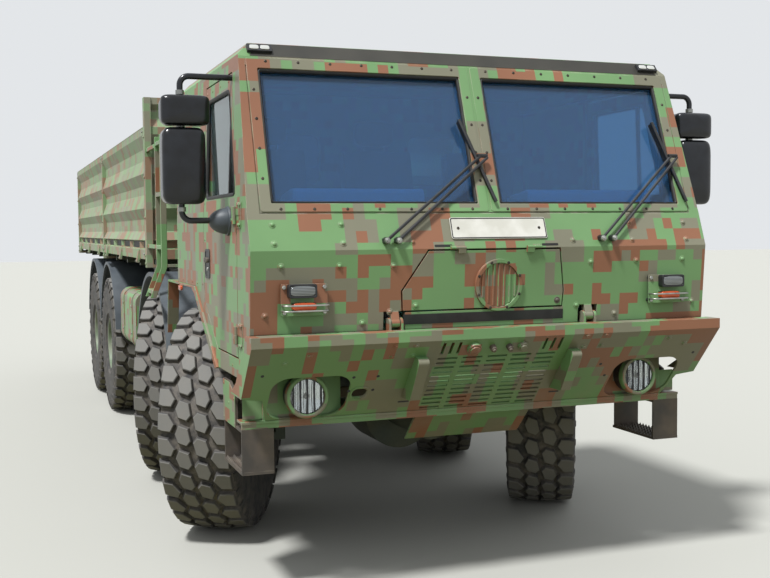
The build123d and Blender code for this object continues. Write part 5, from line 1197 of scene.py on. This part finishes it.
# %% Dusty camouflage for the boards
board_paint = camouflage("dusty_board_camouflage", 11.0, 0.55)
tree = board_paint.node_tree
shader = tree.nodes["Principled BSDF"]
under = shader.inputs["Base Color"].links[0].from_socket
place = add(tree, "TexCoord", take="Object")
veil = add(tree, "TexNoise", {"Vector": place, "Scale": 3.0, "Detail": 8.0})
veil = add(tree, "MapRange", {0: veil, 1: 0.3, 2: 0.7, 3: 0.22, 4: 0.50})
plug(tree, shader, {"Base Color": add(tree, "MixRGB", {0: veil, 1: under, 2: linear("#9a9c86")})})
boards = [f"dropside_{end}_{hand}" for end in ("front", "rear") for hand in ("left", "right")]
for name in boards + ["tailgate", "bed_posts"]:
    nodes[name].data.materials[0] = board_paint

# %% [markdown]
# Each board has a black sheet of painted shade in the channel behind its hooks, a cap on its
# top rail, pins at its corners and bolts at its hinge eyes. Their places are worked out from
# the board's own box in the frame, so they stay right if a board changes its length.

# %% Channels, caps, pins and bolts of the boards
CHANNEL_Z, PIN_ROWS = 1.6985, (2.545, 1.630)
for sign, hand in HANDS:
    for end in ("front", "rear"):
        low, high = (np.array(v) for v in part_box(f"dropside_{end}_{hand}"))
        body, way = f"side_{end}_{hand}", (sign, 0, 0)
        middle, length = (low[1] + high[1]) / 2, high[1] - low[1]
        # a black sheet in the channel behind the hooks: painted shade
        channel = sheet((length - 0.012, 0.0505, 0.004), way, 0.0010, (sign * 1.2452, middle, CHANNEL_Z))
        piece(f"board_channel_shade_{end}_{hand}", channel, rubber_and_shade_black, body)
        cap = rounded(length - 0.004, 0.0150, 0.004)
        cap = plate(cap, UP, 0.004, (sign * 1.2690, middle, 2.5732), REAR)
        piece(f"board_cap_{end}_{hand}", cap, board_paint, body, bevel=0.001)
        pins = [(sign * 1.2752, y, z) for y in (low[1] + 0.030, high[1] - 0.030) for z in PIN_ROWS]
        many(f"board_pins_{end}_{hand}", hex_bolt, pins, way, zinc, body)
        eyes = low[1] + length * np.array([0.12, 0.5, 0.88])
        studs = [(sign * 1.2755, y - 0.030 + u, 1.655) for y in eyes for u in (-0.018, 0.018)]
        many(f"board_eye_bolts_{end}_{hand}", rivet, studs, way, camouflage_paint, body)

# %% [markdown]
# ### The deck
# Long sheets of dark phenolic plywood lie on the floor's steel, 6 mm apart and screwed
# down, with two rows of sunk lashing rings. Lines in a texture could stand for the joints,
# but real gaps keep their shadow from every side.

# %% Deck sheets, screws and lashing rings
# plywood with a film of dark resin: dull brown, scuffed pale at its edges
deck_ply = mottled(
    "phenolic_plywood", "black_plastic", ("#3d382f", "#5f574a"), 0.4, (0.5, 0.75), 0.0006, 0.004, 0.2,
    "#8a8273",
)
WIDE, DECK_Y, DEEP, DECK_TOP = 2.434 / 6, AXLE_1 + 4.933, 6.300, 1.668
columns = [(k - 2.5) * WIDE for k in range(6)]
sheets = [sheet((WIDE - 0.006, DEEP, 0.004), UP, 0.0040, (x, DECK_Y, 1.6642)) for x in columns]
piece("deck_sheets", joined(sheets), deck_ply, bevel=0.001)
screw_rows = np.linspace(-3.08, 3.08, 15)
spots = [(x + u, DECK_Y + v, DECK_TOP) for x in columns for u in (-0.17, 0.17) for v in screw_rows]
many("deck_screws", flat_screw, spots, UP, zinc)
print("deck sheets:", len(sheets), "screws:", len(spots))
cup = lathe([(0.0, 0.0006), (0.050, 0.0006), (0.052, 0.0030), (0.060, 0.0030), (0.062, 0.0)], 24)
cups = [(x, DECK_Y + v, DECK_TOP) for x in (-0.98, 0.98) for v in np.linspace(-2.6, 2.6, 6)]
many("lashing_cups", cup, cups, UP, dark_steel)
circle = round_section(0.036, 24)
rings = [
    wire(np.column_stack([x + circle[:, 0], y + circle[:, 1], np.full(24, z + 0.007)]), 0.0055, closed=True)
    for x, y, z in cups
]
piece("lashing_rings", joined(rings), zinc, smooth=60)

# %% [markdown]
# ### The rear
# Each tail lamp is a black case with three lenses; between them the jaw's pin has a
# domed head on a flat collar.

# %% Tail lamps and tow pin
LAMP_BACK = AXLE_1 + 8.126
red_disc = lathe([(0.0, 0.006), (0.034, 0.006), (0.038, 0.004), (0.040, 0.0)], 28)
for sign, hand in HANDS:
    at = (sign * 1.0, LAMP_BACK - 0.002, 1.0)
    case = bezel((0.268, 0.098, 0.012), (0.250, 0.080, 0.008), REAR, 0.008, at)
    piece(f"tail_lamp_case_{hand}", case, black_plastic, bevel=0.001)
    for k, lens_paint in enumerate((lamp_amber, lamp_red, white_lens)):
        lens = pillow(0.080, 0.078, 0.011, REAR, (sign * (1.0825 - 0.0825 * k), LAMP_BACK + 0.0002, 1.0))
        piece(f"tail_lens_{k}_{hand}", lens, lens_paint, smooth=50)
    many(f"rear_reflector_{hand}", red_disc, [(sign * 0.780, AXLE_1 + 8.086, 1.0)], REAR, lamp_red)
pin_head = [
    (0.0, 0.034), (0.012, 0.033), (0.020, 0.028), (0.024, 0.018), (0.024, 0.008), (0.034, 0.007),
    (0.034, 0.0),
]
many("tow_pin_head", lathe(pin_head, 24), [(0.0, AXLE_1 + 8.1113, 1.1902)], UP, zinc)
jaw_bolts = [(x, AXLE_1 + 8.1563, z) for x in (-0.068, 0.068) for z in (1.075, 1.165)]
many("jaw_bolts", hex_bolt, jaw_bolts, REAR, zinc)

# %% [markdown]
# The tailgate has the same painted channel shade and pins, and two bent handles to pull it up
# by. They ride with the gate, while the bolts of the posts stay with the bed.

# %% Tailgate fittings and the bolts of the posts
GATE_Y = AXLE_1 + 8.146
# the black sheet in the tailgate's channel is painted shade
gate_channel = sheet((2.410, 0.0505, 0.004), REAR, 0.0010, (0, GATE_Y - 0.0298, CHANNEL_Z))
piece("tailgate_channel_shade", gate_channel, rubber_and_shade_black, "rear_gate")
pins = [(x, GATE_Y, z) for x in (-1.185, 1.185) for z in PIN_ROWS]
many("tailgate_pins", hex_bolt, pins, REAR, zinc, "rear_gate")
# the handle's bends as (out, height)
GRIP = ((-0.001, 2.470), (0.018, 2.474), (0.024, 2.490), (0.024, 2.530), (0.018, 2.546), (-0.001, 2.550))
handles = [wire([(x, GATE_Y + out, z) for out, z in GRIP], 0.006, up=LEFT) for x in (-1.10, 1.10)]
piece("tailgate_handles", joined(handles), zinc, "rear_gate", 60)
POSTS, BOLT_ROWS = (1.7575, 4.933, 8.1085), (1.56, 1.62, 1.90, 2.20, 2.50)
for sign, hand in HANDS:
    spots = [(sign * 1.2752, AXLE_1 + y, z) for y in POSTS for z in BOLT_ROWS]
    many(f"stake_bolts_{hand}", hex_bolt, spots, (sign, 0, 0), board_paint)

# %% [markdown]
# ### Tank, box, springs and steps
# The fuel tank's filler has a cap with finger notches, r = 0.052 + 0.003 cos(10 a). An air
# spring is a rolled rubber bellows whose radius swells twice between steel rings.

# %% Fittings on the tank and the equipment box
a = np.linspace(0, 2 * np.pi, 80, endpoint=False)
notched = 0.052 + 0.003 * np.cos(10 * a)
# the cap's levels as (share of the radius, height)
cap_levels = [
    (0.0, 0.052), (0.60, 0.052), (0.92, 0.050), (1.0, 0.044), (1.0, 0.030), (1.0, 0.012), (0.8, 0.0),
]
cap_rows = [
    np.stack([
        -1.060 + share * notched * np.cos(a), AXLE_1 + 3.050 + share * notched * np.sin(a),
        np.full(80, 1.290 + height),
    ], axis=1)
    for share, height in cap_levels
]
filler_cap = np.concatenate(cap_rows), grid_faces(len(cap_levels), 80, close_columns=True)
piece("filler_cap", filler_cap, black_plastic)
for sign, hand in HANDS:
    strap_bolts = [(sign * 1.2462, AXLE_1 + y, z) for y in (2.965, 3.545) for z in (0.93, 1.16)]
    many(f"strap_bolts_{hand}", hex_bolt, strap_bolts, (sign, 0, 0), zinc)
    beads = []
    for y, facing in ((2.720, FRONT), (3.800, REAR)):
        path = laid(rounded(0.480, 0.330, 0.080, 8), facing, (sign * 0.920, AXLE_1 + y, 1.045))
        beads.append(wire(path, 0.007, closed=True, up=REAR))
    piece(f"tank_beads_{hand}", joined(beads), camouflage_paint, smooth=60)
lid = sheet((0.440, 0.300, 0.020), LEFT, 0.0040, (1.2400, AXLE_1 + 3.255, 1.045))
piece("box_lid", lid, camouflage_paint, bevel=0.0012)
latches = [pillow(0.050, 0.070, 0.014, LEFT, (1.2440, AXLE_1 + y, 1.150), power=10) for y in (3.120, 3.390)]
piece("box_latches", joined(latches), zinc, smooth=50)

# %% [markdown]
# The bellows are rubber over a waist ring, and bulge twice between steel plates. One
# profile is turned for the rubber and two for the rings, and set at all eight wheels.

# %% Air springs
bellows = [
    (0.0, 0.870), (0.088, 0.870), (0.098, 0.882), (0.1015, 0.903), (0.098, 0.926), (0.084, 0.950),
    (0.080, 0.956), (0.080, 0.970), (0.084, 0.976), (0.098, 0.999), (0.1015, 1.022), (0.098, 1.046),
    (0.088, 1.060), (0.0, 1.060),
]
girdle = lathe([(0.074, 0.955), (0.085, 0.956), (0.086, 0.963), (0.085, 0.970), (0.074, 0.971)], 36)
cap_ring = lathe([(0.086, 1.058), (0.096, 1.060), (0.096, 1.0745), (0.086, 1.0745)], 36)
springs = [(s * 0.560, AXLE_1 + y, 0.0) for s in (-1, 1) for y in AXLES]
many("spring_bellows", lathe(bellows, 36), springs, UP, rubber_and_shade_black, smooth=60)
many("spring_rings", joined([girdle, cap_ring]), springs, UP, dark_steel)

# %% [markdown]
# The boarding steps are boxes of sheet steel closed by riveted panels, and the tread is
# punched into teeth that grip a boot. A tooth has four sides, since there are 130.

# %% Boarding steps: panels, teeth and rivets
panel = [(-1.168, 0.988), (-1.168, 0.822), (-0.892, 0.822), (-0.892, 1.036), (-1.038, 1.036)]
step_rivets = [(y, 0.840) for y in (-1.150, -1.030, -0.910)]
step_rivets += [(-1.150, 0.965), (-0.910, 1.015), (-1.030, 0.930)]
for sign, hand in HANDS:
    way = (sign, 0, 0)
    outline = [(sign * (AXLE_1 + y), z) for y, z in panel]
    side = plate(outline, way, 0.003, (sign * 1.2502, 0, 0), (0, sign, 0))
    piece(f"step_side_panel_{hand}", side, camouflage_paint, bevel=0.001)
    closing = sheet((0.136, 0.118, 0.004), FRONT, 0.003, (sign * 1.170, AXLE_1 - 1.268, 0.937))
    piece(f"step_front_panel_{hand}", closing, camouflage_paint, bevel=0.001)
    spots = [(sign * 1.2532, AXLE_1 + y, z) for y, z in step_rivets]
    many(f"step_rivets_{hand}", rivet, spots, way, camouflage_paint)
tooth = lathe([(0.0, 0.014), (0.0025, 0.013), (0.0090, 0.0)], 4)
teeth = [
    (s * x, AXLE_1 + y, 0.6240)
    for s in (-1, 1) for x in (1.100, 1.135, 1.170, 1.205, 1.240) for y in np.arange(-1.280, -0.900, 0.030)
]
many("step_teeth", tooth, teeth, UP, dark_steel, smooth=0)
print("teeth on the steps:", len(teeth))

# %% [markdown]
# ### Engine and cab interior
# The engine is a closed block with cooling louvres; with the cab tilted its fan shows:
# nine blades whose pitch turns from 55 degrees at the hub to 25 at the tip. In the cab,
# the seats have headrests and piped seams, and the dashboard has dials for the driver.

# %% Engine louvres and covers
side_slat = [(-0.004, -0.018), (0.008, -0.020), (0.010, -0.014), (0.002, 0.018), (-0.004, 0.018)]
top_slat = [(-0.016, -0.003), (0.016, -0.003), (0.020, 0.008), (-0.010, 0.004)]
slats = [
    swept([(s * 0.335, AXLE_1 + y, z) for y in (0.580, 1.080)], side_slat)
    for s in (-1, 1) for z in np.arange(1.000, 1.800, 0.055)
]
slats += [
    swept([(x, AXLE_1 + y, 1.850) for x in (-0.290, 0.290)], top_slat) for y in np.arange(0.590, 1.090, 0.050)
]
piece("engine_louvres", joined(slats), dark_steel)
covers = [
    pillow(0.190, 0.150, 0.013, UP, (x, AXLE_1 + y, 1.430), power=12)
    for x in (-0.215, 0.215) for y in (0.050, 0.240, 0.430)
]
piece("rocker_covers", joined(covers), engine_grey, smooth=50)

# %% [markdown]
# A fan blade is a sheet that twists: at radius r it is a chord long, turned by the pitch
# there. The sheet and its copy 2.5 mm behind are closed by a wall round their edge.

# %% The fan
BLADES, FAN_Y, FAN_Z, BLADE_THICK = 9, AXLE_1 - 0.100, 1.190, (0, 0.0025, 0)
radius = np.linspace(0.055, 0.205, 9)[:, None]
width = np.linspace(-0.5, 0.5, 7)[None, :]
pitch = np.radians(55 - 30 * (radius - 0.055) / 0.150)
chord = 0.075 + 0.2 * radius
along, lift = width * chord * np.cos(pitch), width * chord * np.sin(pitch) * 0.45
# a blade is a 9 by 7 grid and its copy, closed by a wall round the grid's edge
skin = grid_faces(9, 7)
edge = [*range(0, 7), *range(13, 63, 7), *range(61, 55, -1), *range(49, 0, -7)]
wall_faces = [[i, j, 63 + j, 63 + i] for i, j in zip(edge, edge[1:] + edge[:1])]
blade_faces = skin + [[k + 63 for k in f[::-1]] for f in skin] + wall_faces
blades = []
for k in range(BLADES):
    turn = 2 * np.pi * k / BLADES
    x = radius * np.cos(turn) - along * np.sin(turn)
    z = radius * np.sin(turn) + along * np.cos(turn)
    face = np.stack([x, FAN_Y + lift, FAN_Z + z], axis=-1).reshape(-1, 3)
    blades.append((np.concatenate([face, face + BLADE_THICK]), blade_faces))
piece("fan_blades", joined(blades), dark_steel, smooth=40)
print("blade pitch in degrees:", np.degrees(pitch[[0, -1], 0]))
hub = lathe([(0.0, 0.060), (0.030, 0.058), (0.052, 0.048), (0.062, 0.030), (0.062, 0.0)], 32)
shroud = lathe([(0.212, 0.0), (0.212, 0.055), (0.218, 0.060), (0.224, 0.055), (0.226, 0.0)], 56)
many("fan_hub_and_shroud", joined([hub, shroud]), [(0.0, AXLE_1 - 0.060, FAN_Z)], FRONT, engine_grey)

# %% [markdown]
# Headrests are padded cushions, two pillows back to back. The piping is a thin round bar
# laid on the seams, which shows the cushion's shape better than a line in the colour.

# %% Headrests and seams of the seats
SEAT_TOP, REST_Y, REST_Z = 1.6815, AXLE_1 + 0.270, 2.420
rests, seams, rods = [], [], []
for x in (-0.720, 0.0, 0.720):
    for depth, way in ((0.060, FRONT), (0.030, REAR)):
        rests.append(pillow(0.270, 0.170, depth, way, (x, REST_Y, REST_Z), power=3, rows=9))
    for u in (-0.07, 0.07):
        rods.append(wire([(x + u, AXLE_1 + 0.262, 2.270), (x + u, AXLE_1 + 0.268, 2.360)], 0.006, up=LEFT))
    corners = ((-0.228, -0.358), (0.228, -0.358), (0.228, 0.090), (-0.228, 0.090))
    cushion = loop([(x + u, AXLE_1 + v, SEAT_TOP) for u, v in corners], 0.060)
    seams.append(wire(cushion, 0.0050, 6, closed=True))
    for u in (-0.110, 0.110):
        seams.append(wire([(x + u, AXLE_1 + y, 1.6805) for y in (-0.345, 0.070)], 0.0035, 6))
        back_seam = [(x + u, AXLE_1 + 0.068, 1.720), (x + u, AXLE_1 + 0.196, 2.270)]
        seams.append(wire(back_seam, 0.0035, 6, up=LEFT))
piece("headrests", joined(rests), seat_cloth, "cab", 60)
piece("headrest_rods", joined(rods), zinc, "cab", 60)
piece("seat_seams", joined(seams), rubber_and_shade_black, "cab", 60)

# %% [markdown]
# The dashboard has soft hoods before both seats, painted pale as if lit by the sun through
# the windscreens, so that they show through them.
# Dials are turned rings on its leaning face, each with a white needle.

# %% Dashboard hoods, dials and switches
# soft foam skin, grey-green and without highlights, painted much paler to stand for the sunlight that falls
# on it through the windscreens
hood_paint_with_painted_sunlight = surface("soft_trim_with_painted_sunlight", "#c2d2c8", 0.6, slot="trim_green")[0]
hood = [
    (0.125, -0.016), (0.115, 0.085), (0.090, 0.100), (-0.100, 0.075), (-0.130, 0.055), (-0.130, -0.040),
    (0.020, -0.030),
]
hoods = [
    swept([(x, AXLE_1 - 1.250, 1.900) for x in ends], hood) for ends in ((-1.000, -0.310), (0.270, 1.020))
]
piece("dashboard_hoods", joined(hoods), hood_paint_with_painted_sunlight, "cab", bevel=0.010)
dash_front, on_dash = sloped((-1.070, 1.780), (-1.150, 1.850))
dash_way = -dash_front
dial = [(0.0, 0.003), (0.040, 0.003), (0.041, 0.009), (0.046, 0.010), (0.049, 0.004), (0.049, 0.0)]
dials = [on_dash(x, 1.815) for x in (0.560, 0.665, 0.775, 0.880)]
many("dials", lathe(dial, 32), dials, dash_way, black_plastic, "cab")
needles = [pillow(0.030, 0.004, 0.0015, dash_way, p + 0.004 * dash_way) for p in dials]
piece("dial_needles", joined(needles), enamel, "cab")
switch = lathe([(0.0, 0.010), (0.007, 0.010), (0.010, 0.007), (0.010, 0.0)], 12)
switches = [(x, AXLE_1 - 1.0790, 1.680) for x in np.arange(-0.10, 0.44, 0.045)]
many("switches", switch, switches, REAR, black_plastic, "cab")

# %% [markdown]
# The roof hatch is lifted by two bent bars, and two small panes with rubber beads look
# back over the engine.

# %% Hatch handles and rear windows
# the handle's bends as (back, height)
HATCH_GRIP = (
    (-0.60, 2.749), (-0.60, 2.770), (-0.585, 2.778), (-0.475, 2.778), (-0.46, 2.770), (-0.46, 2.749),
)
handles = [wire([(x, AXLE_1 + y, z) for y, z in HATCH_GRIP], 0.006, up=LEFT) for x in (-0.16, 0.16)]
piece("hatch_handles", joined(handles), camouflage_paint, "hatch", 60)
WINDOW_X, WINDOW_Z = 0.620, 2.260
for sign, hand in HANDS:
    x = sign * WINDOW_X
    pane = sheet((0.610, 0.322, 0.055), REAR, 0.005, (x, AXLE_1 + 0.458, WINDOW_Z))
    piece(f"rear_window_{hand}", pane, cab_glass, "cab")
    path = laid(rounded(0.622, 0.332, 0.060, 8), REAR, (x, AXLE_1 + 0.4790, WINDOW_Z))
    piece(f"rear_window_seal_{hand}", wire(path, 0.0105, closed=True, up=REAR), rubber_and_shade_black, "cab", 60)

# %% [markdown]
# ## Studio
# A pale sky, a high sun from the truck's front right, as the shadow in the photograph
# tells, and a floor that looks pale to the camera and in mirrors and glass, but gives back
# no more light than dry grass does, so that the truck's underside stays dark.
# The photograph's camera stands 6.4 m before the first axle, at 1.8 m, with a 50 mm lens.


# %% Floor
def staged(name, data):
    """An object of the studio, which is no part of the truck."""
    obj = bpy.data.objects.new(name, data)
    bpy.context.scene.collection.objects.link(obj)
    return obj


floor_mesh = bpy.data.meshes.new("studio_floor")
floor_mesh.from_pydata([(-60, -60, 0), (60, -60, 0), (60, 60, 0), (-60, 60, 0)], [], [(0, 1, 2, 3)])
floor = staged("studio_floor", floor_mesh)
floor_paint, tree, shader = surface("pale_studio_floor", "#93938f", 0.9, Specular_IOR_Level=0.1)
rays = add(tree, "LightPath").node.outputs
seen = add(tree, "Math", {0: rays["Is Camera Ray"], 1: rays["Is Glossy Ray"]}, operation="MAXIMUM")
seen = add(tree, "Math", {0: seen, 1: rays["Is Transmission Ray"]}, operation="MAXIMUM")
ground = add(tree, "MixRGB", {0: seen, 1: linear("#5f5a22"), 2: linear("#a6a6a0")})
plug(tree, shader, {"Base Color": ground})
floor_mesh.materials.append(floor_paint)

# %% [markdown]
# A pale sky gives soft light from everywhere, at a strength near 1. The sun is wide, 8
# degrees across, so its shadows have soft edges, as in a studio.

# %% Sky and sun
world = bpy.data.worlds.new("soft_studio_sky")
bpy.context.scene.world = world
world.use_nodes = True
background = world.node_tree.nodes["Background"]
plug(world.node_tree, background, {"Color": linear("#eef1f4"), "Strength": 0.9})
sun_data = bpy.data.lights.new("soft_sun", "SUN")
sun_data.energy, sun_data.angle = 4.7, np.radians(8)
sun = staged("soft_sun", sun_data)
sun.rotation_euler = Vector((0.46, 0.31, -1.0)).to_track_quat("-Z", "Y").to_euler()

# %% [markdown]
# The camera was fitted to the photograph from the tyre's size and the upright lines. It
# looks along the truck, 20 degrees to the right and a little down, and is rolled by half a
# degree.

# %% Camera: its yaw, pitch and roll in degrees, and its place
yaw, pitch, roll = np.radians((20.25, -3.167, -0.474))
CAMERA_PLACE = (-2.370, AXLE_1 - 6.359, 1.797)
camera_data = bpy.data.cameras.new("photograph_camera")
camera_data.lens, camera_data.sensor_width, camera_data.sensor_fit = 50.02, 36.0, "HORIZONTAL"
camera = staged("photograph_camera", camera_data)
forward = np.array([np.sin(yaw) * np.cos(pitch), np.cos(yaw) * np.cos(pitch), np.sin(pitch)])
right = np.array([np.cos(yaw), -np.sin(yaw), 0.0])
over = np.cross(right, forward)
right, over = right * np.cos(roll) + over * np.sin(roll), over * np.cos(roll) - right * np.sin(roll)
axes = np.eye(4)
axes[:3, 0], axes[:3, 1], axes[:3, 2], axes[:3, 3] = right, over, -forward, CAMERA_PLACE
camera.matrix_world = Matrix(axes.tolist())
bpy.context.scene.camera = camera
bpy.context.scene.view_settings.view_transform = "Standard"
